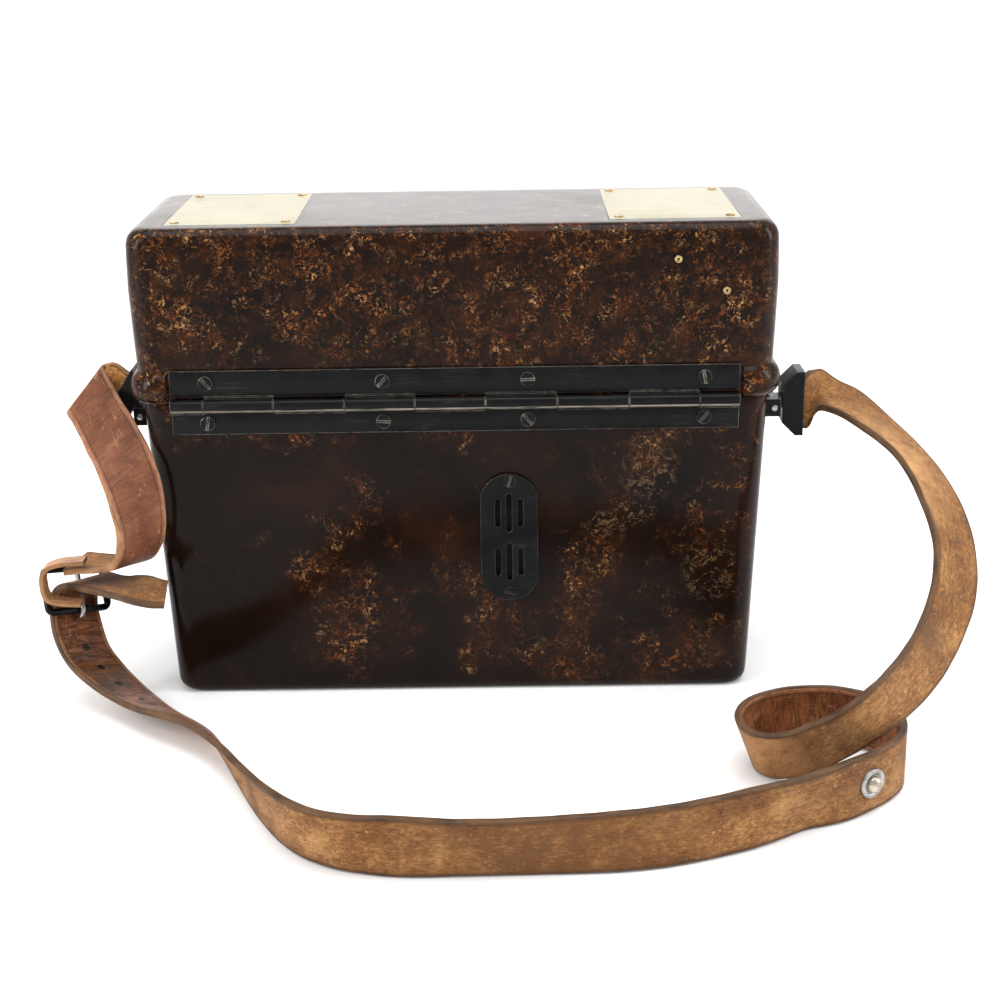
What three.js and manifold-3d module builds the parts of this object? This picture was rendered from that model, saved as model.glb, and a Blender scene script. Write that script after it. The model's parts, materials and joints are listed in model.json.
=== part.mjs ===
// Portable field telephone in a moulded case: a tapered lower case and a hinged lid, a leather
// carrying strap with a buckle, and the handset, hand generator, bell and battery inside.
// Millimetres. +X is to the right of the hinged face, -Y is the hinged face, +Z is up.
// The origin is the centre of the case's underside.
import * as THREE from "three";
import { mergeVertices } from "three/addons/utils/BufferGeometryUtils.js";
import Module from "manifold-3d";

const wasm = await Module();
wasm.setup();

// ---- driving dimensions -------------------------------------------------------------------
const GAP = 0.4; // clearance between pieces that touch
const WALL = 4; // moulded wall of the case and the lid
const CASE_HALF_X = 134; // half width of the case at the parting line
const CASE_HALF_Y = 50; // half depth of the case at the parting line
const CASE_FOOT_X = 128.8; // half width of the case just above its bottom edge
const CASE_FOOT_Y = 47.4; // half depth of the case just above its bottom edge
const CASE_H = 136; // height of the case, up to the parting line
const LID_TOP = 210; // height of the lid's top face
const CORNER = 11; // radius of the upright corners
const RIM_H = 13.4; // height of the thick moulded rim round the lid's mouth
const RIM_OUT = 4.4; // how far the rim stands out

const HINGE_HALF = 120.4; // half length of the hinge
const HINGE_AXIS_Y = -53.4;
const HINGE_AXIS_Z = 136;
const KNUCKLE_R = 2.8;
const PIN_R = 1.2;
const LEAF_T = 1.5;
const KNUCKLE_ENDS = [-120.4, -106.4, -76.6, -46.6, -16.9, 12.9, 43.2, 73.5, 103.4, 120.4];
const HINGE_SCREW_X = [-105.2, -30.5, 30.8, 105.4];
const HINGE_SCREW_CASE_Z = 128;
const HINGE_SCREW_LID_Z = 145.6;
const EYELETS = [
  [93.6, 195.4],
  [114, 181.9],
];

const GRILLE_X = 22.2; // centre of the bell's sound plate
const GRILLE_Z = 73.8;
const GRILLE_W = 25;
const GRILLE_H = 59;

const SHACKLE_X = 139.5; // strap shackle's pivot, from the middle of the case
const SHACKLE_Y = -12;
const SHACKLE_Z = 123.5;
const SHACKLE_REACH = 14; // pivot to the shackle's open end
const SHACKLE_BAR = 11.8; // pivot to the bar that the strap goes round
const LEFT_SWING = 33; // how far the left shackle is swung up, in degrees

const PANEL_Z = 126; // underside of the instrument panel
const PANEL_T = 3;
const CRANK_AXIS = { y: -4, z: 66 }; // the generator's drive shaft, along X
const GEAR_TEETH = 36;
const PINION_TEETH = 9;
const MODULE = 1.6; // gear module

// ---- materials ----------------------------------------------------------------------------
const paint = (color, roughness, metalness) =>
  new THREE.MeshStandardMaterial({ color, roughness, metalness });
const bakelite = () => paint(0x2a1f1a, 0.35, 0);
const blackSteel = () => paint(0x1c1d1f, 0.45, 0.6);
const blackPlastic = () => paint(0x17181a, 0.35, 0);
const ivory = () => paint(0xd9d2bd, 0.5, 0);
const leather = () => paint(0x8a5f3c, 0.8, 0);
const brass = () => paint(0xb08a4a, 0.35, 0.9);
const steel = () => paint(0x9a9a98, 0.35, 0.9);
const copper = () => paint(0x8a4a2c, 0.5, 0.3);
const iron = () => paint(0x4a4a4c, 0.55, 0.7);
const cardboard = () => paint(0x7a6648, 0.9, 0);

// ---- solids -------------------------------------------------------------------------------
function toSolid(geometry) {
  const bare = geometry.clone();
  bare.deleteAttribute("normal");
  bare.deleteAttribute("uv");
  const merged = mergeVertices(bare, 1e-4);
  return new wasm.Manifold(
    new wasm.Mesh({
      numProp: 3,
      vertProperties: new Float32Array(merged.attributes.position.array),
      triVerts: new Uint32Array(merged.index.array),
    }),
  );
}

function toGeometry(solid) {
  const { vertProperties, triVerts } = solid.getMesh();
  const geometry = new THREE.BufferGeometry();
  geometry.setAttribute("position", new THREE.BufferAttribute(vertProperties, 3));
  geometry.setIndex(new THREE.BufferAttribute(triVerts, 1));
  geometry.computeVertexNormals();
  return geometry;
}

const group = new THREE.Group();

function add(name, solid, material, parent = group) {
  const mesh = new THREE.Mesh(toGeometry(solid), material);
  mesh.name = name;
  parent.add(mesh);
  return mesh;
}

const move = (geometry, x, y, z) => geometry.translate(x, y, z);

// A block between two corners.
function block(x0, y0, z0, x1, y1, z1) {
  const geometry = new THREE.BoxGeometry(x1 - x0, y1 - y0, z1 - z0);
  return toSolid(move(geometry, (x0 + x1) / 2, (y0 + y1) / 2, (z0 + z1) / 2));
}

// A round rod from one end point along an axis.
function rod(axis, x, y, z, radius, length, sides = 16) {
  const geometry = new THREE.CylinderGeometry(radius, radius, length, sides);
  geometry.translate(0, length / 2, 0);
  if (axis === "x") geometry.rotateZ(-Math.PI / 2);
  if (axis === "z") geometry.rotateX(Math.PI / 2);
  return toSolid(move(geometry, x, y, z));
}

// A turned body: a closed profile of [radius, height] turned about an axis through a point.
function turned(profile, axis, x, y, z, sides = 24) {
  const points = profile.map(([r, h]) => new THREE.Vector2(r, h));
  const geometry = new THREE.LatheGeometry(points, sides);
  if (axis === "x") geometry.rotateZ(-Math.PI / 2);
  if (axis === "-y") geometry.rotateX(Math.PI);
  if (axis === "z") geometry.rotateX(Math.PI / 2);
  return toSolid(move(geometry, x, y, z));
}

// A flat shape in the XY plane, raised along Z from z0.
function slab(shape, z0, height, curveSegments = 8) {
  const geometry = new THREE.ExtrudeGeometry(shape, {
    depth: height,
    bevelEnabled: false,
    curveSegments,
  });
  return toSolid(move(geometry, 0, 0, z0));
}

// Outline of a rectangle with round corners, as points going round once.
function roundedOutline(halfX, halfY, radius, steps = 4) {
  const points = [];
  const centres = [
    [halfX - radius, halfY - radius, 0],
    [radius - halfX, halfY - radius, 90],
    [radius - halfX, radius - halfY, 180],
    [halfX - radius, radius - halfY, 270],
  ];
  for (const [cx, cy, start] of centres) {
    for (let i = 0; i <= steps; i += 1) {
      const angle = THREE.MathUtils.degToRad(start + (90 * i) / steps);
      points.push([cx + radius * Math.cos(angle), cy + radius * Math.sin(angle)]);
    }
  }
  return points;
}

// A body through rounded rectangles at rising heights: levels of [z, halfX, halfY, radius].
function loft(levels, steps = 4) {
  const rings = levels.map(([z, hx, hy, r]) =>
    roundedOutline(hx, hy, r, steps).map(([x, y]) => [x, y, z]),
  );
  return skin(rings);
}

// Closes a stack of equal rings into one body: walls between rings and a flat cap at each end.
function skin(rings) {
  const count = rings[0].length;
  const positions = rings.flat(2);
  const faces = [];
  for (let level = 0; level + 1 < rings.length; level += 1) {
    for (let i = 0; i < count; i += 1) {
      const a = level * count + i;
      const b = level * count + ((i + 1) % count);
      faces.push(a, b, b + count, a, b + count, a + count);
    }
  }
  const last = (rings.length - 1) * count;
  for (let i = 1; i + 1 < count; i += 1) {
    faces.push(0, i + 1, i);
    faces.push(last, last + i, last + i + 1);
  }
  const geometry = new THREE.BufferGeometry();
  geometry.setAttribute("position", new THREE.Float32BufferAttribute(positions, 3));
  geometry.setIndex(faces);
  return toSolid(geometry);
}

// Puts a body built about its own origin at a point, with its axes along a, b and c.
function placed(solid, at, a, b, c) {
  return solid.transform([...a, 0, ...b, 0, ...c, 0, ...at, 1]);
}

// A strip of rectangular section through stations of [left edge, right edge], each [x, y, z].
function ribbon(stations, thickness) {
  const lefts = stations.map((s) => new THREE.Vector3(s[0], s[1], s[2]));
  const rights = stations.map((s) => new THREE.Vector3(s[3], s[4], s[5]));
  const middles = lefts.map((left, i) => left.clone().add(rights[i]).multiplyScalar(0.5));
  const rings = stations.map((station, i) => {
    const before = middles[Math.max(i - 1, 0)];
    const after = middles[Math.min(i + 1, middles.length - 1)];
    const along = after.clone().sub(before).normalize();
    const across = rights[i].clone().sub(lefts[i]).normalize();
    const out = along.cross(across).normalize().multiplyScalar(thickness / 2);
    const corners = [
      lefts[i].clone().add(out),
      rights[i].clone().add(out),
      rights[i].clone().sub(out),
      lefts[i].clone().sub(out),
    ];
    return corners.map((p) => [p.x, p.y, p.z]);
  });
  const solid = skin(rings);
  return solid.volume() > 0 ? solid : skin(rings.map((ring) => [...ring].reverse()));
}

// ---- case ---------------------------------------------------------------------------------
const caseWidthAt = (z) => {
  const rise = (z - 5) / (CASE_H - 5);
  return CASE_FOOT_X + (CASE_HALF_X - CASE_FOOT_X) * rise;
};
const caseDepthAt = (z) => {
  const rise = (z - 5) / (CASE_H - 5);
  return CASE_FOOT_Y + (CASE_HALF_Y - CASE_FOOT_Y) * rise;
};
const caseLevel = (z, inset) => [
  z,
  caseWidthAt(z) - inset,
  caseDepthAt(z) - inset,
  Math.max(CORNER - inset, 4),
];

function hingeScrewHoles(z) {
  const holes = HINGE_SCREW_X.map((x) => rod("y", x, -54, z, 1.8, 5.8, 8));
  return wasm.Manifold.union(holes);
}

function makeCase() {
  const outer = loft([
    [0, 124.5, 43, 7],
    [1.5, 127, 45.6, 9],
    [5, 128.8, 47.4, 10],
    [CASE_H, CASE_HALF_X, CASE_HALF_Y, CORNER],
  ]);
  // The wall is thicker in a band under the panel, which makes the ledge it rests on.
  const low = loft([caseLevel(WALL, WALL), caseLevel(116, WALL), caseLevel(121, WALL + 3)]);
  const ledge = loft([caseLevel(120, WALL + 3), caseLevel(130, WALL + 3)]);
  const high = loft([caseLevel(PANEL_Z - GAP, WALL), caseLevel(CASE_H + 2, WALL)]);
  const soundHole = block(
    GRILLE_X - 7, -60, 53,
    GRILLE_X + 7, -40, 95,
  );
  const crankHole = rod("x", 120, CRANK_AXIS.y, CRANK_AXIS.z, 8.4, 20, 16);
  // The moulded ridge that the latch clip snaps over.
  const catchRidge = block(-9, 47, 121, 9, LATCH_Y + 0.4, 125);
  const grilleHoles = [100, 48.1].map((z) => rod("y", GRILLE_X + 0.4, -52, z, 1.7, 5, 8));
  return outer
    .add(catchRidge)
    .subtract(low)
    .subtract(ledge)
    .subtract(high)
    .subtract(soundHole)
    .subtract(crankHole)
    .subtract(wasm.Manifold.union(grilleHoles))
    .subtract(hingeScrewHoles(HINGE_SCREW_CASE_Z));
}

// ---- lid ----------------------------------------------------------------------------------
const PLATE_X0 = 65.8;
const PLATE_X1 = 121;
const PLATE_Y0 = -37;
const PLATE_Y1 = 40;

function makeLid() {
  const from = CASE_H + GAP;
  const body = loft([
    [from, 135.3, 50, CORNER],
    [160, 136.1, 50, CORNER],
    [184, 136.9, 50, CORNER],
    [202, 136.5, 49.6, CORNER],
    [206, 135.5, 48.8, 10],
    [208.6, 133.6, 47, 9],
    [LID_TOP, 130.6, 44, 8],
  ]);
  const rimProfile = [
    [from, 2.2],
    [138, 3.6],
    [141, RIM_OUT],
    [144.5, RIM_OUT],
    [147.5, 3.2],
    [from + RIM_H, 0.1],
  ];
  const rim = loft(rimProfile.map(([z, out]) => [z, 134.6 + out, 50 + out, CORNER + out]));
  const hingeRecess = block(-121.8, -60, CASE_H, 121.8, -49.95, 151);
  const inside = loft([
    [CASE_H, 130.6, 46, 7],
    [184, 132.4, 46, 7],
    [202, 132, 45.6, 7],
    [206, 130, 43.6, 6],
  ]);
  const plates = [-1, 1].map((side) => {
    const x0 = side < 0 ? -PLATE_X1 : PLATE_X0;
    return block(x0 - 0.5, PLATE_Y0 - 0.5, LID_TOP - 1, x0 + 55.7, PLATE_Y1 + 0.5, LID_TOP + 1);
  });
  const eyeletHoles = EYELETS.map(([x, z]) => rod("y", x, -54, z, 1.2, 8, 8));
  return body
    .add(rim.subtract(hingeRecess))
    .subtract(inside)
    .subtract(wasm.Manifold.union(plates))
    .subtract(wasm.Manifold.union(eyeletHoles))
    .subtract(hingeScrewHoles(HINGE_SCREW_LID_Z));
}

// ---- hinge --------------------------------------------------------------------------------
// Alternate knuckles belong to the case and to the lid, starting with the case.
function makeHingeLeaf(first, plate, web) {
  const parts = [block(-HINGE_HALF, -50.3 - LEAF_T, plate[0], HINGE_HALF, -50.3, plate[1])];
  for (let i = first; i + 1 < KNUCKLE_ENDS.length; i += 2) {
    const x0 = KNUCKLE_ENDS[i] + 0.15;
    const length = KNUCKLE_ENDS[i + 1] - KNUCKLE_ENDS[i] - 0.3;
    parts.push(rod("x", x0, HINGE_AXIS_Y, HINGE_AXIS_Z, KNUCKLE_R, length, 14));
    parts.push(block(x0, -50.3 - LEAF_T, web[0], x0 + length, -50.5, web[1]));
  }
  const bore = rod("x", -140, HINGE_AXIS_Y, HINGE_AXIS_Z, PIN_R + 0.3, 280, 14);
  const screwZ = (plate[0] + plate[1]) / 2;
  return wasm.Manifold.union(parts)
    .subtract(bore)
    .subtract(hingeScrewHoles(screwZ > HINGE_AXIS_Z ? HINGE_SCREW_LID_Z : HINGE_SCREW_CASE_Z));
}

function screw(x, y, z, headRadius, length) {
  const profile = [
    [0, 0],
    [1.3, 0],
    [1.3, length],
    [headRadius, length],
    [headRadius, length + 0.6],
    [headRadius * 0.8, length + 1],
    [0, length + 1],
  ];
  return turned(profile, "-y", x, y, z, 12);
}

// ---- sound plate over the bell ------------------------------------------------------------
function makeGrille() {
  const half = GRILLE_W / 2;
  const straight = GRILLE_H / 2 - half;
  const outline = new THREE.Shape();
  outline.absarc(0, straight, half, 0, Math.PI, false);
  outline.absarc(0, -straight, half, Math.PI, 2 * Math.PI, false);
  let plate = slab(outline, 0, 1.3, 8);
  const slots = [];
  for (const centre of [11.6, -11.3]) {
    for (const [offset, tall] of [[-4.9, 13], [0, 17.7], [4.9, 13]]) {
      const x = offset - 1.15;
      slots.push(block(x, centre - tall / 2, -2, x + 2.3, centre + tall / 2, 3));
    }
  }
  for (const z of [100, 48.1]) slots.push(rod("z", 0.4, z - GRILLE_Z, -2, 1.5, 5, 8));
  plate = plate.subtract(wasm.Manifold.union(slots));
  // Stood upright against the sloping back wall, face outwards.
  const lean = Math.atan((CASE_HALF_Y - CASE_FOOT_Y) / (CASE_H - 5));
  return placed(
    plate,
    [GRILLE_X, -caseDepthAt(GRILLE_Z) - GAP, GRILLE_Z],
    [1, 0, 0],
    [0, -Math.sin(lean), Math.cos(lean)],
    [0, -Math.cos(lean), -Math.sin(lean)],
  );
}

// ---- strap shackles -----------------------------------------------------------------------
// Made for the right-hand side at the pivot's own origin: x outwards, z up.
const SLEEVE_HALF_H = 14.6;
const SLEEVE_HALF_D = 7.3;
const SLEEVE_WALL = 1.4;

function makeShackle() {
  const barrel = rod("y", 0, -10, 0, 2.8, 20, 14);
  const bore = rod("y", 0, -12, 0, 1.8, 24, 14);
  const chamfered = (x0, x1, h, d, cut) => {
    const outline = new THREE.Shape([
      new THREE.Vector2(x0, cut - h),
      new THREE.Vector2(x0 + cut, -h),
      new THREE.Vector2(x1, -h),
      new THREE.Vector2(x1, h),
      new THREE.Vector2(x0 + cut, h),
      new THREE.Vector2(x0, h - cut),
    ]);
    const flat = slab(outline, -d, 2 * d);
    return placed(flat, [0, 0, 0], [1, 0, 0], [0, 0, 1], [0, -1, 0]);
  };
  const outside = chamfered(4.5, SHACKLE_REACH, SLEEVE_HALF_H, SLEEVE_HALF_D, 6);
  const inside = chamfered(
    4.5 + 1.6,
    SHACKLE_REACH + 4,
    SLEEVE_HALF_H - SLEEVE_WALL,
    SLEEVE_HALF_D - SLEEVE_WALL,
    5.4,
  );
  const neck = block(1, -5, -2.2, 5.2, 5, 2.2);
  // The round bar that the strap goes round, with its ends in the sleeve's walls.
  const bar = rod("z", SHACKLE_BAR, 0, 0.5 - SLEEVE_HALF_H, 1.6, 2 * SLEEVE_HALF_H - 1, 12);
  return outside.add(barrel).add(neck).subtract(inside).subtract(bore).add(bar);
}

function makeSidePlate() {
  const slope = (CASE_HALF_X - CASE_FOOT_X) / (CASE_H - 5);
  const inner = (z) => caseWidthAt(z) + 0.3;
  const outline = new THREE.Shape([
    new THREE.Vector2(inner(106), 106),
    new THREE.Vector2(inner(106) + 1.5, 106),
    new THREE.Vector2(inner(135) + 1.5, 135),
    new THREE.Vector2(inner(135), 135),
  ]);
  const flat = slab(outline, 0, 28);
  let plate = placed(flat, [0, 2, 0], [1, 0, 0], [0, 0, 1], [0, -1, 0]);
  for (const y of [-24.5, -1.5]) {
    plate = plate.add(block(134.6, y, SHACKLE_Z - 4, 142.5, y + 2, SHACKLE_Z + 4));
  }
  for (const [y, z] of [[-18, 109.5], [-6, 109.5], [-18, 132], [-6, 132]]) {
    const x = inner(z) + 1.2 + slope;
    plate = plate.add(rod("x", x, y, z, 2.2, 1.2, 10));
  }
  return plate.subtract(rod("y", SHACKLE_X, -30, SHACKLE_Z, 1.7, 40, 12));
}

const mirrored = (solid) => solid.mirror([1, 0, 0]);

// ---- leather strap ------------------------------------------------------------------------
const STRAP_T = 3;

// Round the bar of the right shackle, out and down to the table, back under itself, across in
// front of the case, then up on edge to the buckle. The end comes out over the buckle's far bar.
const LONG_STRAP = [
  [155.5, -17, 112, 156.5, -12, 137],
  [158, -20, 118.5, 164, -0.5, 134],
  [160.5, -23.5, 122.5, 171.5, -1.5, 128.5],
  [168, -30.5, 121.5, 180.5, -9, 125],
  [177, -38.5, 117, 191.5, -17.5, 116],
  [186.5, -47.5, 111, 202, -28, 107],
  [192.5, -57.5, 103.5, 211, -41, 97],
  [197, -68.5, 92.5, 217.5, -55.5, 85],
  [199.5, -81, 81, 220, -69, 71.5],
  [196, -97, 68.5, 216.5, -87, 57],
  [187.5, -114, 59, 206, -106, 44],
  [177.5, -131, 54, 194.5, -123, 36.5],
  [167, -145, 50, 182, -136.5, 31],
  [159, -155.5, 49, 173, -146.5, 29.5],
  [152.5, -156.5, 43.5, 163.5, -147.5, 22.5],
  [146, -152.5, 36.5, 155.5, -143.5, 14.5],
  [137.5, -148, 30, 144.5, -140.5, 6.5],
  [128.5, -147, 25.5, 133, -138, 2],
  [121, -145, 24.5, 126, -135.5, 1],
  [115.5, -140.5, 24, 122, -131, 1],
  [113, -133, 24, 121.5, -126, 1],
  [112.5, -125, 24, 121.5, -121, 1],
  [114.5, -117, 24, 122.5, -116.5, 1],
  [118.5, -110.5, 24, 125, -113, 1],
  [124.5, -106, 24.5, 129, -110.5, 1],
  [132.5, -103, 25, 134.5, -109, 0.5],
  [144, -101.5, 25.5, 144, -106.5, 0.5],
  [155, -103, 26, 154, -106.5, 0.5],
  [165.5, -107.5, 26, 165.5, -108.5, 0.5],
  [173.5, -115, 26, 173.5, -115, 0.5],
  [178, -126, 26, 178, -126, 0.5],
  [178, -138.5, 26, 178, -138.5, 0.5],
  [173, -150.5, 26, 173, -150.5, 0.5],
  [161, -162, 26, 161, -162, 0.5],
  [147, -171.5, 26, 147, -171.5, 0.5],
  [132, -181, 25.5, 134, -175, 0.5],
  [114.5, -188.5, 26, 115.5, -187.5, 0.5],
  [96, -197, 26, 96.5, -195.5, 0.5],
  [78, -203, 26, 78.5, -201.5, 0.5],
  [60, -206.5, 26, 60.5, -204.5, 0.5],
  [38.5, -209, 25.5, 38.5, -205, 0.5],
  [17, -210.5, 25.5, 17, -205.5, 0.5],
  [-4, -210, 25.5, -5, -206, 0.5],
  [-18.5, -208.5, 26, -19.5, -206, 0.5],
  [-38.5, -206, 25.5, -38.5, -202, 0.5],
  [-53, -200.5, 25.5, -51.5, -195.5, 0.5],
  [-62.5, -192.5, 25.5, -61.5, -186, 0.5],
  [-69, -183, 24, -70, -173, 0.5],
  [-74.5, -171.5, 21, -78.5, -156.5, 0.5],
  [-81, -155.5, 16.5, -87, -136.5, 0.5],
  [-88, -141.5, 14, -93.5, -120.5, 1],
  [-95.5, -127.5, 13, -100, -105, 1],
  [-105, -114.5, 13, -106.5, -92, 1.5],
  [-115, -105, 14, -114, -82.5, 1.5],
  [-124.5, -98, 13.5, -120.5, -76, 1.5],
  [-136, -89.5, 12, -128, -67.5, 1.5],
  [-149, -76.5, 10.5, -137.5, -55, 2.5],
  [-160.5, -68.5, 13.5, -146, -48.5, 7],
  [-171.5, -59.5, 18, -155, -41, 13.5],
  [-176.5, -60, 27.5, -159, -42, 21.5],
  [-178.5, -59, 35.5, -161, -41.5, 29],
  [-180, -54.5, 42, -164, -35, 36],
  [-181, -51, 46, -165, -32, 40],
  [-180.5, -49, 50, -165, -30, 44],
  [-177, -50.5, 54, -162.5, -30, 48.5],
  [-172, -54, 55.5, -159, -32, 52.5],
  [-146, -78, 60, -145.5, -52.5, 58],
  [-140, -81, 59, -140, -55.5, 60],
  [-134.5, -82, 58, -134.5, -56.5, 60],
  [-129, -82, 57, -130.5, -56.5, 58.5],
  [-124, -81, 56.5, -127, -55.5, 57],
];

// From the left shackle down to the buckle's side: the part after its turn round the bar.
const SHORT_STRAP = [
  [-171.5, -23, 124.5, -155.5, -14, 144],
  [-168, -29, 121, -152.5, -17, 138],
  [-163, -38, 116.5, -147, -24, 131],
  [-158, -48, 112.5, -140, -35.5, 126],
  [-153, -57, 108.5, -135, -43, 120],
  [-149.5, -64, 103.5, -130.5, -49.5, 114.5],
  [-146.5, -69, 99, -127.5, -53.5, 106.5],
  [-144.5, -73, 93.5, -125.5, -55.5, 99],
  [-142.5, -76, 89, -125.5, -56.5, 91],
  [-142, -77, 84.5, -126, -56.5, 84],
  [-143, -76, 79, -127.5, -55, 77.5],
  [-145, -73.5, 74, -131, -51.5, 71.5],
  [-148, -68.5, 69.5, -135.5, -46, 65.5],
  [-152, -65.5, 67.5, -142.5, -42, 63.5],
  [-157.5, -64, 66.5, -150, -39, 63],
  [-164, -62, 65.5, -157.5, -37, 63],
  [-171, -60, 64, -165.5, -34.5, 63],
];

// The turn round a shackle's bar, where the strap is cut narrower: [distance from the pivot,
// depth from the bar's middle, half width].
const STRAP_TURN = [
  [13.5, -3.7, 12.4],
  [11.8, -3.7, 12.1],
  [9.2, -2.6, 9.4],
  [8.1, 0, 7.8],
  [9.2, 2.6, 9.4],
  [11.8, 3.6, 12.1],
  [14.6, 3.4, 12.3],
];

// The two edges where the short part leaves the shackle.
const SHORT_LEAD = [-166, -18.5, 123.5, -151, -14, 145.5];

function shortStrapStations() {
  const swing = THREE.MathUtils.degToRad(LEFT_SWING);
  const out = [-Math.cos(swing), Math.sin(swing)];
  const up = [Math.sin(swing), Math.cos(swing)];
  const turn = STRAP_TURN.map(([reach, depth, half]) => {
    const x = -SHACKLE_X + out[0] * reach;
    const z = SHACKLE_Z + out[1] * reach;
    const y = SHACKLE_Y - depth;
    return [x - up[0] * half, y, z - up[1] * half, x + up[0] * half, y, z + up[1] * half];
  });
  return [...turn, SHORT_LEAD, ...SHORT_STRAP];
}

// ---- buckle -------------------------------------------------------------------------------
// Its own axes: across the strap, along the strap, and out of the strap's face.
const BUCKLE_AT = [-171.85, -44.75, 39.08];
const BUCKLE_ACROSS = [0.621, 0.75, -0.229];
const BUCKLE_ALONG = [-0.226, 0.621, 0.751];
const BUCKLE_OUT = [0.705, -0.415, 0.5727];
const BUCKLE_BAR_OUT = 3.6; // height of the bars' middle above the strap's middle

const onBuckle = (solid) =>
  placed(solid, BUCKLE_AT, BUCKLE_ACROSS, BUCKLE_ALONG, BUCKLE_OUT);

function makeBuckleFrame() {
  const z = BUCKLE_BAR_OUT;
  const outer = block(-17.8, -1.5, z - 1.5, 17.8, 21.5, z + 1.5);
  const inner = block(-14.6, 1.5, z - 5, 14.6, 18.5, z + 5);
  return outer.subtract(inner);
}

// A saddle over the near bar and a long tongue that ends on the far bar.
function makeBuckleProng() {
  const z = BUCKLE_BAR_OUT;
  const arm = block(-1.2, -4.2, z + 1.9, 1.2, 21.3, z + 4.1);
  const nearLug = block(-1.2, -4.2, z - 0.9, 1.2, -2, z + 3);
  const farLug = block(-1.2, 2, z - 0.9, 1.2, 4.2, z + 3);
  return arm.add(nearLug).add(farLug);
}

// The hole that the tongue goes through.
const prongHole = () => block(-2, 2.5, 4.6, 2, 19, 14);

const KEEPER_PATH = [
  [-160, 70.5],
  [-172, 69.5],
  [-178.2, 66.5],
  [-179.5, 60],
  [-178, 53.5],
  [-172, 51.5],
  [-163, 51],
];

function makeKeeper() {
  const stations = KEEPER_PATH.map(([x, z]) => [x, -66, z, x, -58, z]);
  return ribbon(stations, 2);
}

function longStrapStations() {
  const turn = STRAP_TURN.map(([reach, depth, half]) => {
    const x = SHACKLE_X + reach;
    const y = SHACKLE_Y - depth;
    return [x, y, SHACKLE_Z - half, x, y, SHACKLE_Z + half];
  });
  return [...turn, ...LONG_STRAP];
}

function makeStud() {
  const profile = [
    [0, 0],
    [6, 0],
    [6, 0.8],
    [5.2, 1.2],
    [3.8, 1.2],
    [3.2, 2.8],
    [1.6, 3.6],
    [0, 3.8],
  ];
  const stud = turned(profile, "z", 0, 0, 0, 16);
  const out = [0.5615, -0.8275, 0];
  const across = [0.8275, 0.5615, 0];
  const middle = [159.6, -163, 13.2];
  const at = middle.map((value, i) => value + out[i] * (STRAP_T / 2 + 0.3));
  return placed(stud, at, [-across[0], -across[1], 0], [0, 0, 1], out);
}

// ---- instruments --------------------------------------------------------------------------
const COVER = { x0: -118.5, x1: -64.5, y: 38 };
const CRANK = { x0: 20, x1: 86, y: 33 };
const BUTTON = { x: -20, y: -34 };
const TERMINAL_X = [-46, -26];
const TERMINAL_Y = 33;
const CAP_X = 80;
const HANDSET_Y = -8;

function makePanel() {
  let panel = loft([
    [PANEL_Z, 128.6, 44.8, 6],
    [PANEL_Z + PANEL_T, 128.6, 44.8, 6],
  ]);
  // Two posts that the handset lies on.
  for (const x of [-44, 44]) {
    panel = panel.add(block(x - 4, -21, PANEL_Z + 1, x + 4, 5, 171.6));
  }
  const cutout = block(COVER.x0 + 3, 0.6 - COVER.y + 3, 120, COVER.x1 - 3, COVER.y - 3.6, 135);
  const buttonHole = rod("z", BUTTON.x, BUTTON.y, 120, 5.5, 20, 16);
  return panel.subtract(cutout).subtract(buttonHole);
}

function makeBatteryCover() {
  const top = PANEL_Z + PANEL_T + GAP;
  const lid = block(COVER.x0, -COVER.y, top, COVER.x1, COVER.y, top + 2);
  const plug = block(COVER.x0 + 3.5, 4 - COVER.y, top - 2.4, COVER.x1 - 3.5, COVER.y - 4, top + 1);
  return lid.add(plug);
}

// The handle with a cup at each end; its axis lies along X.
function makeHandset() {
  const y = HANDSET_Y;
  const sections = [-96, -60, 0, 60, 96].map((x) => {
    const arch = x === 0 ? 190 : 188;
    return [
      [x, y - 9, 172], [x, y + 9, 172], [x, y + 11, 180], [x, y + 7, arch],
      [x, y - 7, arch], [x, y - 11, 180],
    ];
  });
  let handle = skin(sections);
  for (const x of [-CAP_X, CAP_X]) {
    const cup = [
      [0, 165.4], [24, 165.4], [24, 168], [14, 174], [12, 178], [0, 178],
    ];
    handle = handle.add(turned(cup, "z", x, y, 0, 20));
  }
  const pocket = block(-21, y - 5, 184, 21, y + 5, 200);
  return handle.subtract(pocket);
}

function makeCap() {
  const profile = [
    [0, 145], [20, 145], [27, 149], [28, 153], [28, 162], [25, 165], [0, 165],
  ];
  return profile;
}

// A gear with straight-sided teeth, flat on z = 0.
function gear(teeth, module, width, turn) {
  const pitch = (teeth * module) / 2;
  const points = [];
  const step = (2 * Math.PI) / teeth;
  const tooth = [
    [-0.27, -1.25],
    [-0.1, 0.8],
    [0.1, 0.8],
    [0.27, -1.25],
  ];
  for (let i = 0; i < teeth; i += 1) {
    for (const [share, height] of tooth) {
      const angle = turn + (i + share) * step;
      const radius = pitch + height * module;
      points.push(new THREE.Vector2(radius * Math.cos(angle), radius * Math.sin(angle)));
    }
  }
  return slab(new THREE.Shape(points), 0, width);
}

const alongX = (solid, x, y, z) => placed(solid, [x, y, z], [0, 1, 0], [0, 0, 1], [1, 0, 0]);
const GEAR_X = 108.5;
const ARMATURE_Z = CRANK_AXIS.z - (MODULE * (GEAR_TEETH + PINION_TEETH)) / 2 - 0.4;

function makeDriveGear() {
  const wheel = gear(GEAR_TEETH, MODULE, 3.5, -Math.PI / 2);
  const shaft = rod("x", 98, CRANK_AXIS.y, CRANK_AXIS.z, 3, 34, 12);
  return alongX(wheel, GEAR_X, CRANK_AXIS.y, CRANK_AXIS.z).add(shaft);
}

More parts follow.
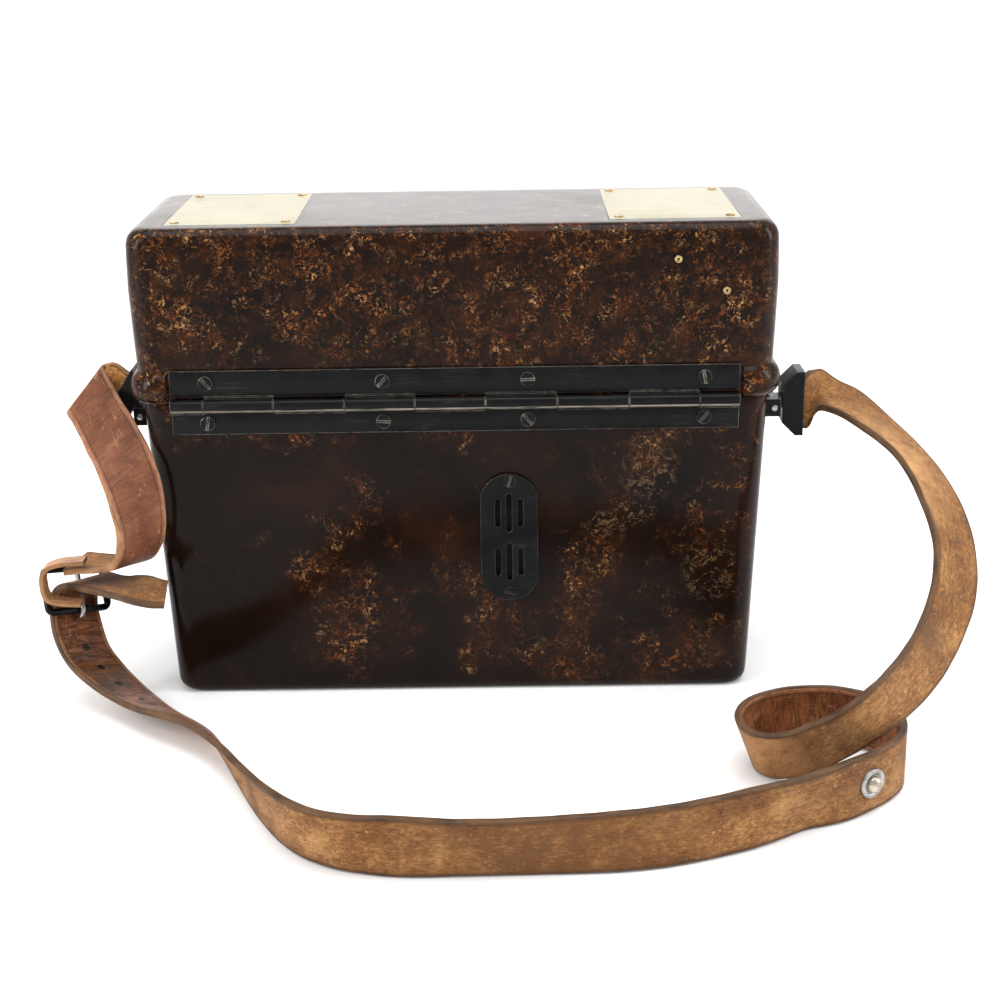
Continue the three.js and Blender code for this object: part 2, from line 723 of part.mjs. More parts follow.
function makeArmature() {
  const pinion = gear(PINION_TEETH, MODULE, 3.5, Math.PI / 2 + Math.PI / PINION_TEETH);
  const core = rod("x", 71, CRANK_AXIS.y, ARMATURE_Z, 11, 31, 14);
  const shaft = rod("x", 64, CRANK_AXIS.y, ARMATURE_Z, 2, 46, 10);
  return alongX(pinion, GEAR_X, CRANK_AXIS.y, ARMATURE_Z).add(core).add(shaft);
}

function makeMagnetoFrame() {
  const y = CRANK_AXIS.y;
  const base = block(67, y - 24, WALL + GAP, 107, y + 24, 8);
  const nearEnd = block(67, y - 24, 5, 69, y + 24, 58);
  const farEnd = block(104.8, y - 24, 5, 106.8, y + 24, 78);
  const bores = rod("x", 60, y, ARMATURE_Z, 2.4, 60, 10);
  const driveBore = rod("x", 60, y, CRANK_AXIS.z, 3.4, 60, 12);
  return base.add(nearEnd).add(farEnd).subtract(bores).subtract(driveBore);
}

function makeMagnets() {
  const y = CRANK_AXIS.y;
  const outline = new THREE.Shape();
  outline.moveTo(-21, 8.4);
  outline.lineTo(-13, 8.4);
  outline.lineTo(-13, 36);
  outline.absarc(0, 36, 13, Math.PI, 0, true);
  outline.lineTo(13, 8.4);
  outline.lineTo(21, 8.4);
  outline.lineTo(21, 36);
  outline.absarc(0, 36, 21, 0, Math.PI, false);
  const flat = slab(outline, 69.5, 34.8, 6);
  return placed(flat, [0, y, 0], [0, 1, 0], [0, 0, 1], [1, 0, 0]);
}

// ---- bell ---------------------------------------------------------------------------------
const GONG_X = 22;
const GONG_Z = [93, 55];
const CLAPPER_X = 52;
const CLAPPER_Z = 74;

function makeRingerFrame() {
  let frame = block(2, -12, 30, 62, -9.5, PANEL_Z - 0.3);
  for (const z of GONG_Z) frame = frame.add(rod("y", GONG_X, -36, z, 2, 25, 10));
  frame = frame.add(rod("y", CLAPPER_X, -34, CLAPPER_Z, 1.4, 23, 10));
  return frame;
}

function makeGong(z) {
  const profile = [
    [2.3, 0], [8, 0.4], [13, 3], [15, 8], [13.9, 8], [12.2, 3.8], [7.6, 1.5], [2.3, 1.1],
  ];
  const closed = [...profile, profile[0]];
  return turned(closed, "y", GONG_X, -35, z, 18);
}

function makeRingerCoil(z0) {
  const profile = [
    [0, 0], [8, 0], [8, 1.5], [6.8, 1.5], [6.8, 22.5], [8, 22.5], [8, 24], [0, 24],
  ];
  return turned(profile, "z", CLAPPER_X, -24, z0, 14);
}

function makeClapper() {
  const hub = rod("y", CLAPPER_X, -32, CLAPPER_Z, 3.4, 5, 12);
  const armature = block(50.8, -31, 67, 53.2, -27.6, 81);
  const arm = rod("x", GONG_X, -29.6, CLAPPER_Z, 0.7, 29, 8);
  const ball = toSolid(move(new THREE.SphereGeometry(2.6, 8, 6), GONG_X, -29.6, CLAPPER_Z));
  const bore = rod("y", CLAPPER_X, -40, CLAPPER_Z, 1.7, 20, 12);
  return hub.add(armature).add(arm).add(ball).subtract(bore);
}

function makeInductionCoil() {
  const profile = [
    [0, 4.4], [12, 4.4], [12, 7], [10, 7], [10, 77], [12, 77], [12, 80], [0, 80],
  ];
  return turned(profile, "z", -36, 15, 0, 16);
}

// ---- crank, button and terminals ----------------------------------------------------------
function makeCrank() {
  const z = PANEL_Z + PANEL_T + 0.3;
  const arm = block(CRANK.x0, CRANK.y - 4, z, CRANK.x1, CRANK.y + 4, z + 4);
  const hub = rod("z", CRANK.x0, CRANK.y, z, 7, 9, 14);
  const pin = rod("z", CRANK.x1, CRANK.y, z, 2.6, 20.4, 12);
  const socket = block(CRANK.x0 - 2.6, CRANK.y - 2.6, z - 3, CRANK.x0 + 2.6, CRANK.y + 2.6, z + 20);
  return arm.add(hub).add(pin).subtract(socket);
}

function ring(outer, inner, axis, x, y, z, length, sides = 14) {
  const hole = axis === "z" ? [x, y, z - 2] : [x - 2, y, z];
  return rod(axis, x, y, z, outer, length, sides).subtract(
    rod(axis, hole[0], hole[1], hole[2], inner, length + 4, sides),
  );
}

function makeTerminal(x) {
  const profile = [
    [0, 129.4], [6, 129.4], [6, 132], [2, 132], [2, 143], [0, 143],
  ];
  return turned(profile, "z", x, TERMINAL_Y, 0, 12);
}

// ---- latch on the front -------------------------------------------------------------------
const LATCH_Y = 54.8;
const LATCH_Z = 156;

function makeLatchHinge() {
  const plate = block(-14, 50.2, 151, 14, 51.7, 163);
  const left = block(-13.5, 50.4, LATCH_Z - 2.6, -11.5, LATCH_Y + 2.4, LATCH_Z + 2.6);
  const right = block(11.5, 50.4, LATCH_Z - 2.6, 13.5, LATCH_Y + 2.4, LATCH_Z + 2.6);
  const pin = rod("x", -12, LATCH_Y, LATCH_Z, 1.2, 24, 12);
  return plate.add(left).add(right).add(pin);
}

function makeLatchClip() {
  const barrel = rod("x", -11, LATCH_Y, LATCH_Z, 2.5, 22, 14);
  const plate = block(-10, LATCH_Y + 0.9, 119, 10, LATCH_Y + 2.4, LATCH_Z);
  const grip = block(-10, LATCH_Y + 0.9, 116, 10, LATCH_Y + 4.4, 119.2);
  const bore = rod("x", -20, LATCH_Y, LATCH_Z, 1.55, 40, 14);
  return barrel.add(plate).add(grip).subtract(bore);
}

// ---- assembly -----------------------------------------------------------------------------
add("case_shell", makeCase(), bakelite());
add("hinge_leaf_case", makeHingeLeaf(0, [123, 132.7], [132, 134.6]), blackSteel());
const pinLength = 2 * HINGE_HALF - 0.6;
add("hinge_pin", rod("x", 0.3 - HINGE_HALF, HINGE_AXIS_Y, HINGE_AXIS_Z, PIN_R, pinLength, 14), steel());
HINGE_SCREW_X.forEach((x, i) => {
  const case_ = screw(x, -48.6, HINGE_SCREW_CASE_Z, 3, 3.5);
  const lid = screw(x, -48.6, HINGE_SCREW_LID_Z, 3, 3.5);
  add(`hinge_screw_case_${i + 1}`, case_, blackSteel());
  add(`hinge_screw_lid_${i + 1}`, lid, blackSteel());
});
add("bell_grille", makeGrille(), blackSteel());
[100, 48.1].forEach((z, i) => {
  const y = -caseDepthAt(z) - GAP + 1.5;
  const profile = [[0, 0], [1.1, 0], [1.1, 3.2], [2.8, 3.2], [2.4, 4.2], [0, 4.4]];
  add(`grille_screw_${i + 1}`, turned(profile, "-y", GRILLE_X + 0.4, y, z, 12), blackSteel());
});

const rightPlate = makeSidePlate();
add("side_plate_right", rightPlate, blackSteel());
add("side_plate_left", mirrored(rightPlate), blackSteel());
const shacklePin = rod("y", SHACKLE_X, -25.5, SHACKLE_Z, 1.4, 27, 12);
add("shackle_pin_right", shacklePin, steel());
add("shackle_pin_left", mirrored(shacklePin), steel());

const rightAt = [SHACKLE_X, SHACKLE_Y, SHACKLE_Z];
const swing = THREE.MathUtils.degToRad(LEFT_SWING);
const hungRight = (solid) => solid.translate(rightAt);
const hungLeft = (solid) =>
  placed(
    solid,
    [-SHACKLE_X, SHACKLE_Y, SHACKLE_Z],
    [-Math.cos(swing), 0, Math.sin(swing)],
    [0, -1, 0],
    [Math.sin(swing), 0, Math.cos(swing)],
  );
add("shackle_right", hungRight(makeShackle()), blackSteel());
add("shackle_left", hungLeft(makeShackle()), blackSteel());

const longStrap = ribbon(longStrapStations(), STRAP_T).subtract(onBuckle(prongHole()));
add("strap_long", longStrap, leather());
add("strap_short", ribbon(shortStrapStations(), STRAP_T), leather());
add("buckle_frame", onBuckle(makeBuckleFrame()), blackSteel());
add("buckle_prong", onBuckle(makeBuckleProng()), steel());
add("strap_keeper", makeKeeper(), leather());
add("strap_stud", makeStud(), brass());

add("lid_shell", makeLid(), bakelite());
add("hinge_leaf_lid", makeHingeLeaf(1, [139.3, 151], [137.4, 140]), blackSteel());
[-1, 1].forEach((side) => {
  const x0 = side < 0 ? -PLATE_X1 : PLATE_X0;
  const plate = block(x0, PLATE_Y0, LID_TOP - 0.7, x0 + 55.2, PLATE_Y1, LID_TOP + 0.1);
  add(side < 0 ? "top_plate_left" : "top_plate_right", plate, ivory());
});
EYELETS.forEach(([x, z], i) => {
  const profile = [[0.5, 0], [0.8, 0], [0.8, 3.6], [1.8, 3.6], [1.5, 4.3], [0.5, 4], [0.5, 0]];
  add(`lid_eyelet_${i + 1}`, turned(profile, "-y", x, -46.6, z, 10), brass());
});
add("latch_hinge", makeLatchHinge(), blackSteel());
add("latch_clip", makeLatchClip(), blackSteel());

add("instrument_panel", makePanel(), blackPlastic());
add("battery_cover", makeBatteryCover(), blackPlastic());
add("battery", block(-119, -37, WALL + GAP, -64, 37, 102), cardboard());
add("induction_coil", makeInductionCoil(), copper());
add("magneto_frame", makeMagnetoFrame(), brass());
add("magneto_magnets", makeMagnets(), iron());
add("drive_gear", makeDriveGear(), brass());
add("armature", makeArmature(), steel());
add("crank_bush", ring(8, 3.5, "x", 126.4, CRANK_AXIS.y, CRANK_AXIS.z, 6.6, 16), brass());
add("ringer_frame", makeRingerFrame(), steel());
GONG_Z.forEach((z, i) => add(`gong_${i + 1}`, makeGong(z), brass()));
[41, 83].forEach((z, i) => add(`ringer_coil_${i + 1}`, makeRingerCoil(z), copper()));
add("clapper", makeClapper(), brass());

add("handset", makeHandset(), blackPlastic());
add("earpiece_cap", turned(makeCap(), "z", -CAP_X, HANDSET_Y, 0, 24), blackPlastic());
add("mouthpiece_cap", turned(makeCap(), "z", CAP_X, HANDSET_Y, 0, 24), blackPlastic());
const talkBar = block(-20, HANDSET_Y - 4, 186, 20, HANDSET_Y + 4, 191.8);
add("talk_bar", talkBar, blackPlastic());
add("crank", makeCrank(), steel());
add("crank_knob", ring(7, 3, "z", CRANK.x1, CRANK.y, PANEL_Z + PANEL_T + 4.9, 14), blackPlastic());
add("test_button", rod("z", BUTTON.x, BUTTON.y, PANEL_Z + 0.4, 5, 7.6, 16), blackPlastic());
TERMINAL_X.forEach((x, i) => {
  add(`terminal_${i + 1}`, makeTerminal(x), brass());
  add(`terminal_nut_${i + 1}`, ring(5.5, 2.4, "z", x, TERMINAL_Y, 134, 5), brass());
});

export default group;
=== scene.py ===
"""Looks of the portable field telephone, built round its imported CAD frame. Metres, +Z up."""

import json
import math
import random

import bmesh
import bpy
import numpy as np
from mathutils import Matrix, Vector


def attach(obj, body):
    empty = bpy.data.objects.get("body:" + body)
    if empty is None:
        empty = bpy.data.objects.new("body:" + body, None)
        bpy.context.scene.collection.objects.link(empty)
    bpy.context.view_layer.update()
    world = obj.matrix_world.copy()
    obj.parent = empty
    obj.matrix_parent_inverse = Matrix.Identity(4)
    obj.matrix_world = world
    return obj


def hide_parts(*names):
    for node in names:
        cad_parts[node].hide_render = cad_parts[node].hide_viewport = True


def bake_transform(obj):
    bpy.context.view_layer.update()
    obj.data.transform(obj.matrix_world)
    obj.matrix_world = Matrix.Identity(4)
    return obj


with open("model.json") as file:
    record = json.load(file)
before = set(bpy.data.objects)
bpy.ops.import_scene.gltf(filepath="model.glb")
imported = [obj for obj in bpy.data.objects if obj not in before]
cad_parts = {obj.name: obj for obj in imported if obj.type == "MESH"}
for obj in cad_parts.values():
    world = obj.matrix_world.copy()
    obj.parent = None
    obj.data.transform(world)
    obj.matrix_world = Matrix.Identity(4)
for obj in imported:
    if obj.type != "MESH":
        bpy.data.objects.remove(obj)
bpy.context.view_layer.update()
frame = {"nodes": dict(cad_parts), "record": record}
nodes = frame["nodes"]
random.seed(7)
MM = 0.001
STRAP_WIDTH = 25.5
STRAP_MIDDLE = STRAP_WIDTH / 2 * MM  # across a strap's texture, from one edge
FLOOR_CLEARANCE = 0.15


# ---- node helpers -------------------------------------------------------------------------
class Nodes:
    """A small builder for one material's node tree."""

    def __init__(self, name):
        self.material = bpy.data.materials.new(name)
        self.material.use_nodes = True
        self.tree = self.material.node_tree
        self.tree.nodes.clear()
        self.out = self.tree.nodes.new("ShaderNodeOutputMaterial")
        self.shader = self.tree.nodes.new("ShaderNodeBsdfPrincipled")
        self.link(self.shader.outputs[0], self.out.inputs["Surface"])

    def link(self, a, b):
        self.tree.links.new(a, b)

    def set(self, socket, value):
        """Sets a socket to a constant, or links it if value is a socket."""
        if isinstance(value, bpy.types.NodeSocket):
            self.link(value, socket)
        else:
            socket.default_value = value

    def coords(self, kind="Object", scale=(1, 1, 1), location=(0, 0, 0)):
        source = self.tree.nodes.new("ShaderNodeTexCoord")
        mapping = self.tree.nodes.new("ShaderNodeMapping")
        mapping.inputs["Scale"].default_value = scale
        mapping.inputs["Location"].default_value = location
        self.link(source.outputs[kind], mapping.inputs["Vector"])
        return mapping.outputs[0]

    def noise(self, vector, scale, detail=4.0, rough=0.55, distortion=0.0, colour=False):
        node = self.tree.nodes.new("ShaderNodeTexNoise")
        self.link(vector, node.inputs["Vector"])
        node.inputs["Scale"].default_value = scale
        node.inputs["Detail"].default_value = detail
        node.inputs["Roughness"].default_value = rough
        node.inputs["Distortion"].default_value = distortion
        return node.outputs["Color" if colour else "Fac"]

    def cells(self, vector, scale, colour=False):
        node = self.tree.nodes.new("ShaderNodeTexVoronoi")
        self.link(vector, node.inputs["Vector"])
        node.inputs["Scale"].default_value = scale
        return node.outputs["Color" if colour else "Distance"]

    def ramp(self, value, stops):
        """stops is a list of (position, grey or colour)."""
        node = self.tree.nodes.new("ShaderNodeValToRGB")
        elements = node.color_ramp.elements
        while len(elements) < len(stops):
            elements.new(0.5)
        for element, (position, colour) in zip(elements, stops):
            element.position = position
            shade = (colour,) * 3 if isinstance(colour, (int, float)) else colour
            element.color = (*shade, 1)
        self.link(value, node.inputs["Fac"])
        return node.outputs["Color"]

    def math(self, operation, a, b=0.0, clamp=False):
        node = self.tree.nodes.new("ShaderNodeMath")
        node.operation = operation
        node.use_clamp = clamp
        self.set(node.inputs[0], a)
        self.set(node.inputs[1], b)
        return node.outputs[0]

    def times(self, a, b):
        return self.math("MULTIPLY", a, b)

    def plus(self, a, b):
        return self.math("ADD", a, b)

    def apart(self, a, b):
        """How far one value is from another."""
        return self.math("ABSOLUTE", self.math("SUBTRACT", a, b))

    def mix(self, factor, a, b):
        node = self.tree.nodes.new("ShaderNodeMix")
        node.data_type = "RGBA"
        self.set(node.inputs[0], factor)
        for socket, value in ((node.inputs[6], a), (node.inputs[7], b)):
            self.set(socket, (*value, 1) if isinstance(value, tuple) else value)
        return node.outputs[2]

    def part(self, vector, index):
        node = self.tree.nodes.new("ShaderNodeSeparateXYZ")
        self.link(vector, node.inputs[0])
        return node.outputs[index]

    def shifted(self, vector, offset, amount):
        """vector pushed about by a colour texture, for wavy edges."""
        node = self.tree.nodes.new("ShaderNodeVectorMath")
        node.operation = "MULTIPLY_ADD"
        self.link(offset, node.inputs[0])
        node.inputs[1].default_value = (amount,) * 3
        self.link(vector, node.inputs[2])
        return node.outputs[0]

    def bump(self, height, strength, distance):
        node = self.tree.nodes.new("ShaderNodeBump")
        node.inputs["Strength"].default_value = strength
        node.inputs["Distance"].default_value = distance
        self.link(height, node.inputs["Height"])
        return node.outputs[0]

    def near(self, vector, point, radius, squash=(1, 1, 1)):
        """1 at a point, falling to 0 at a radius: a soft spot in space."""
        mapping = self.tree.nodes.new("ShaderNodeMapping")
        mapping.inputs["Location"].default_value = [-p * s for p, s in zip(point, squash)]
        mapping.inputs["Scale"].default_value = squash
        self.link(vector, mapping.inputs["Vector"])
        length = self.tree.nodes.new("ShaderNodeVectorMath")
        length.operation = "LENGTH"
        self.link(mapping.outputs[0], length.inputs[0])
        part = self.math("DIVIDE", length.outputs["Value"], radius)
        return self.math("SUBTRACT", 1.0, part, clamp=True)

    def edges(self):
        """1 on sharp outer edges, where wear shows."""
        bevel = self.tree.nodes.new("ShaderNodeBevel")
        bevel.samples = 4
        bevel.inputs["Radius"].default_value = 0.6 * MM
        geometry = self.tree.nodes.new("ShaderNodeNewGeometry")
        dot = self.tree.nodes.new("ShaderNodeVectorMath")
        dot.operation = "DOT_PRODUCT"
        self.link(bevel.outputs[0], dot.inputs[0])
        self.link(geometry.outputs["Normal"], dot.inputs[1])
        return self.ramp(dot.outputs["Value"], [(0.82, 1.0), (0.97, 0.0)])

    def finish(self, base, rough, metallic=0.0, normal=None, specular=0.5, **extra):
        self.set(self.shader.inputs["Base Color"], (*base, 1) if isinstance(base, tuple) else base)
        self.set(self.shader.inputs["Roughness"], rough)
        self.set(self.shader.inputs["Metallic"], metallic)
        self.shader.inputs["Specular IOR Level"].default_value = specular
        for name, value in extra.items():
            self.shader.inputs[name.replace("_", " ")].default_value = value
        if normal is not None:
            self.link(normal, self.shader.inputs["Normal"])
        return self.material


# ---- materials ----------------------------------------------------------------------------
def bakelite(name, amount, scars=()):
    """Dark moulded resin with clustered golden-brown fibre flecks. amount is how many show."""
    n = Nodes(name)
    v = n.coords()
    bent = n.shifted(v, n.noise(v, 130, 3, 0.6, 0.0, True), 0.008)
    clusters = n.noise(v, 30, 4, 0.62, 0.5)
    clumps = n.ramp(clusters, [(0.52 - amount, 0.0), (0.64 - amount * 0.6, 1.0)])
    # Curled fibres lie where a twisted noise crosses its middle; chips fill small cells.
    curl = n.noise(bent, 230, 3, 0.55, 2.0)
    away = n.apart(curl, 0.5)
    fibres = n.ramp(away, [(0.008, 1.0), (0.026, 0.0)])
    cell = n.cells(bent, 380)
    chosen = n.ramp(n.part(n.cells(bent, 380, colour=True), 0), [(0.5, 0.0), (0.62, 1.0)])
    chips = n.times(n.ramp(cell, [(0.2, 1.0), (0.34, 0.0)]), chosen)
    broken = n.ramp(n.noise(v, 330, 3, 0.6), [(0.42, 0.0), (0.54, 1.0)])
    fibres = n.times(fibres, broken)
    flecks = n.times(n.math("MAXIMUM", fibres, n.times(chips, 0.75)), clumps)
    strength = n.ramp(n.noise(v, 95, 3, 0.6), [(0.4, 0.05), (0.64, 0.9)])
    flecks = n.times(flecks, strength)
    hue = n.ramp(
        n.noise(bent, 170, 3, 0.6),
        [(0.32, (0.11, 0.026, 0.006)), (0.5, (0.3, 0.095, 0.022)), (0.68, (0.7, 0.38, 0.15))],
    )
    ground = n.ramp(
        n.noise(v, 26, 5, 0.6, 0.4),
        [(0.3, (0.004, 0.0025, 0.002)), (0.55, (0.009, 0.0042, 0.0025)), (0.75, (0.022, 0.008, 0.004))],
    )
    cloud = n.ramp(n.noise(bent, 130, 4, 0.7, 1.0), [(0.47, 0.0), (0.62, 0.6)])
    haze = n.times(clumps, cloud)
    colour = n.mix(haze, ground, (0.042, 0.012, 0.003))
    colour = n.mix(flecks, colour, hue)
    marks = None
    for point, radius, squash in scars:
        spot = n.near(v, point, radius, squash)
        torn = n.noise(bent, 70, 5, 0.7, 2.4)
        torn = n.ramp(n.apart(torn, 0.5), [(0.006, 1.0), (0.022, 0.0)])
        mark = n.times(n.ramp(spot, [(0.1, 0.0), (0.5, 0.7)]), torn)
        marks = mark if marks is None else n.math("MAXIMUM", marks, mark)
    if marks is not None:
        colour = n.mix(n.times(n.times(marks, broken), 0.55), colour, (0.36, 0.22, 0.1))
    smear = n.noise(v, 14, 5, 0.65, 0.8)
    fine = n.noise(v, 900, 2, 0.5)
    rough = n.ramp(smear, [(0.3, 0.11), (0.7, 0.24)])
    scratches = n.noise(n.coords("Object", (30, 30, 1500), (0.2, 0, 0)), 3, 2, 0.5, 0.3)
    height = n.plus(n.times(smear, 0.6), n.times(fine, 0.05))
    height = n.plus(height, n.times(flecks, 0.04))
    height = n.plus(height, n.times(scratches, 0.03))
    return n.finish(colour, rough, 0.0, n.bump(height, 0.25, 0.0006), 0.09)


def enamelled_steel(name, wear=0.5, bright=(0.33, 0.31, 0.27), grain=(60, 900, 900), rub_and_highlight_band=None):
    """Black enamel with rubbed streaks and bare metal on the edges. The band argument is a height and half
    width in z drawn as bright bare metal: partly wear, partly a painted highlight.
    """
    n = Nodes(name)
    v = n.coords()
    streaks = n.noise(n.coords("Object", grain), 1.0, 4, 0.6, 0.2)
    smudge = n.noise(v, 60, 4, 0.6)
    patchy = n.ramp(n.noise(v, 230, 3, 0.6), [(0.3, 0.0), (0.62, 1.0)])
    bare = n.times(n.times(n.edges(), patchy), wear)
    # A band at a set height drawn as bright bare metal: worn metal and a painted highlight.
    if rub_and_highlight_band:
        away = n.apart(n.part(v, 2), rub_and_highlight_band[0])
        band = n.ramp(n.math("DIVIDE", away, rub_and_highlight_band[1]), [(0.4, 1.0), (1.0, 0.0)])
        along = n.ramp(n.noise(n.coords("Object", (60, 300, 900)), 1.0, 4, 0.6), [(0.36, 0.0), (0.58, 1.0)])
        bare = n.math("MAXIMUM", bare, n.times(band, along))
    rubbed = n.math(
        "MULTIPLY",
        n.ramp(streaks, [(0.56, 0.0), (0.72, 0.7)]),
        n.ramp(smudge, [(0.45, 0.0), (0.7, 1.0)]),
    )
    colour = n.ramp(smudge, [(0.3, (0.002, 0.002, 0.0022)), (0.7, (0.006, 0.006, 0.0063))])
    colour = n.mix(rubbed, colour, (0.04, 0.04, 0.04))
    colour = n.mix(bare, colour, bright)
    rough = n.ramp(smudge, [(0.3, 0.24), (0.7, 0.42)])
    pits = n.times(n.noise(v, 700, 3, 0.6), 0.25)
    height = n.plus(n.times(streaks, 0.3), pits)
    metallic = n.times(bare, 0.9)
    return n.finish(colour, rough, metallic, n.bump(height, 0.3, 0.0002), 0.12)


def metal(name, dark, light, rough=(0.25, 0.5), stains=(0.05, 0.035, 0.02), grain=(400, 400, 400)):
    """Bare metal with brushed grain and tarnish."""
    n = Nodes(name)
    v = n.coords()
    brushed = n.noise(n.coords("Object", grain), 1.0, 4, 0.6)
    blotch = n.noise(v, 130, 5, 0.65, 0.5)
    colour = n.mix(n.ramp(brushed, [(0.3, 0.0), (0.7, 1.0)]), dark, light)
    tarnish = n.ramp(blotch, [(0.5, 0.0), (0.72, 0.75)])
    colour = n.mix(tarnish, colour, stains)
    roughness = n.ramp(blotch, [(0.3, rough[0]), (0.7, rough[1])])
    height = n.plus(n.times(brushed, 0.4), n.times(blotch, 0.4))
    return n.finish(colour, roughness, 1.0, n.bump(height, 0.25, 0.0002), 0.5)


def plastic(name, dark, light, rough=(0.25, 0.42), specks=None):
    """Moulded plastic with faint mottling, scuffs and a fine surface."""
    n = Nodes(name)
    v = n.coords()
    blotch = n.noise(v, 28, 5, 0.6, 0.3)
    colour = n.ramp(blotch, [(0.3, dark), (0.7, light)])
    scuff = n.ramp(n.noise(n.coords("Object", (900, 60, 900)), 1.0, 3, 0.6, 0.4), [(0.66, 0.0), (0.74, 1.0)])
    specks = specks or tuple(min(1, c * 3 + 0.03) for c in light)
    colour = n.mix(n.times(scuff, 0.25), colour, specks)
    roughness = n.ramp(n.noise(v, 45, 4, 0.6), [(0.3, rough[0]), (0.7, rough[1])])
    height = n.plus(n.times(n.noise(v, 800, 3, 0.5), 0.5), n.times(scuff, 0.2))
    return n.finish(colour, roughness, 0.0, n.bump(height, 0.15, 0.0002), 0.45)


def ivory(name):
    """Aged writing plate: warm off-white with rubbed grey stains and faint wiped pencil."""
    n = Nodes(name)
    v = n.coords()
    blotch = n.noise(v, 30, 5, 0.65, 0.6)
    colour = n.ramp(blotch, [(0.3, (0.34, 0.31, 0.22)), (0.6, (0.45, 0.42, 0.325))])
    wiped = n.noise(n.coords("Object", (160, 900, 1)), 1.0, 4, 0.65, 1.5)
    rows = n.tree.nodes.new("ShaderNodeTexWave")
    rows.bands_direction = "Y"
    n.link(v, rows.inputs["Vector"])
    rows.inputs["Scale"].default_value = 26
    rows.inputs["Distortion"].default_value = 1.2
    rows.inputs["Detail"].default_value = 2
    lines = n.ramp(rows.outputs["Fac"], [(0.55, 0.0), (0.8, 1.0)])
    strokes = n.times(n.ramp(wiped, [(0.56, 0.0), (0.66, 1.0)]), lines)
    colour = n.mix(n.times(strokes, 0.5), colour, (0.24, 0.18, 0.11))
    dirt = n.ramp(n.noise(v, 75, 5, 0.7, 0.5), [(0.55, 0.0), (0.8, 0.5)])
    colour = n.mix(dirt, colour, (0.27, 0.22, 0.14))
    height = n.noise(v, 500, 4, 0.6)
    rough = n.ramp(blotch, [(0.3, 0.35), (0.7, 0.55)])
    return n.finish(colour, rough, 0.0, n.bump(height, 0.1, 0.0002), 0.12)


def suede(name, tone=1.0, stains=0.6, spots=()):
    """Flesh side of old strap leather: matted tan fibres, rubbed dark in places."""
    n = Nodes(name)
    uv = n.coords("UV")
    v = n.coords()
    mottled = n.noise(uv, 34, 6, 0.7, 0.3)
    fibre = n.noise(n.coords("UV", (1.0, 0.35, 1)), 900, 5, 0.7, 0.8)
    long_wear = n.noise(n.coords("UV", (0.6, 0.12, 1)), 55, 4, 0.6, 0.4)
    shade = n.plus(n.times(mottled, 0.55), n.times(fibre, 0.45))
    colour = n.ramp(
        shade,
        [
            (0.36, tuple(c * tone for c in (0.05, 0.017, 0.004))),
            (0.5, tuple(c * tone for c in (0.215, 0.09, 0.025))),
            (0.63, tuple(c * tone for c in (0.46, 0.245, 0.09))),
        ],
    )
    grime = n.times(n.ramp(long_wear, [(0.42, 0.0), (0.68, 1.0)]), stains)
    colour = n.mix(grime, colour, (0.085, 0.034, 0.010))
    speck = n.ramp(n.noise(uv, 480, 3, 0.6, 0.4), [(0.62, 0.0), (0.74, 0.7)])
    colour = n.mix(speck, colour, tuple(c * tone for c in (0.55, 0.32, 0.14)))
    pore = n.ramp(n.noise(uv, 650, 3, 0.6), [(0.28, 0.75), (0.4, 0.0)])
    colour = n.mix(pore, colour, (0.03, 0.011, 0.004))
    across = n.part(uv, 0)
    rim = n.apart(across, STRAP_MIDDLE)
    rim = n.ramp(n.math("DIVIDE", rim, STRAP_MIDDLE), [(0.84, 0.0), (0.97, 0.75)])
    colour = n.mix(rim, colour, (0.05, 0.02, 0.008))
    # Patches of given colour round given points; on the long strap one of them is a painted highlight.
    for point, radius, spot_colour in spots:
        patchy = n.ramp(n.noise(uv, 90, 4, 0.7), [(0.35, 0.2), (0.6, 1.0)])
        mark = n.times(n.near(v, point, radius), patchy)
        colour = n.mix(mark, colour, spot_colour)
    height = n.plus(n.times(fibre, 0.7), n.times(mottled, 0.5))
    return n.finish(
        colour, n.ramp(fibre, [(0.3, 0.75), (0.7, 0.95)]), 0.0, n.bump(height, 0.85, 0.0006), 0.1,
        Sheen_Weight=0.08, Sheen_Roughness=0.6,
    )


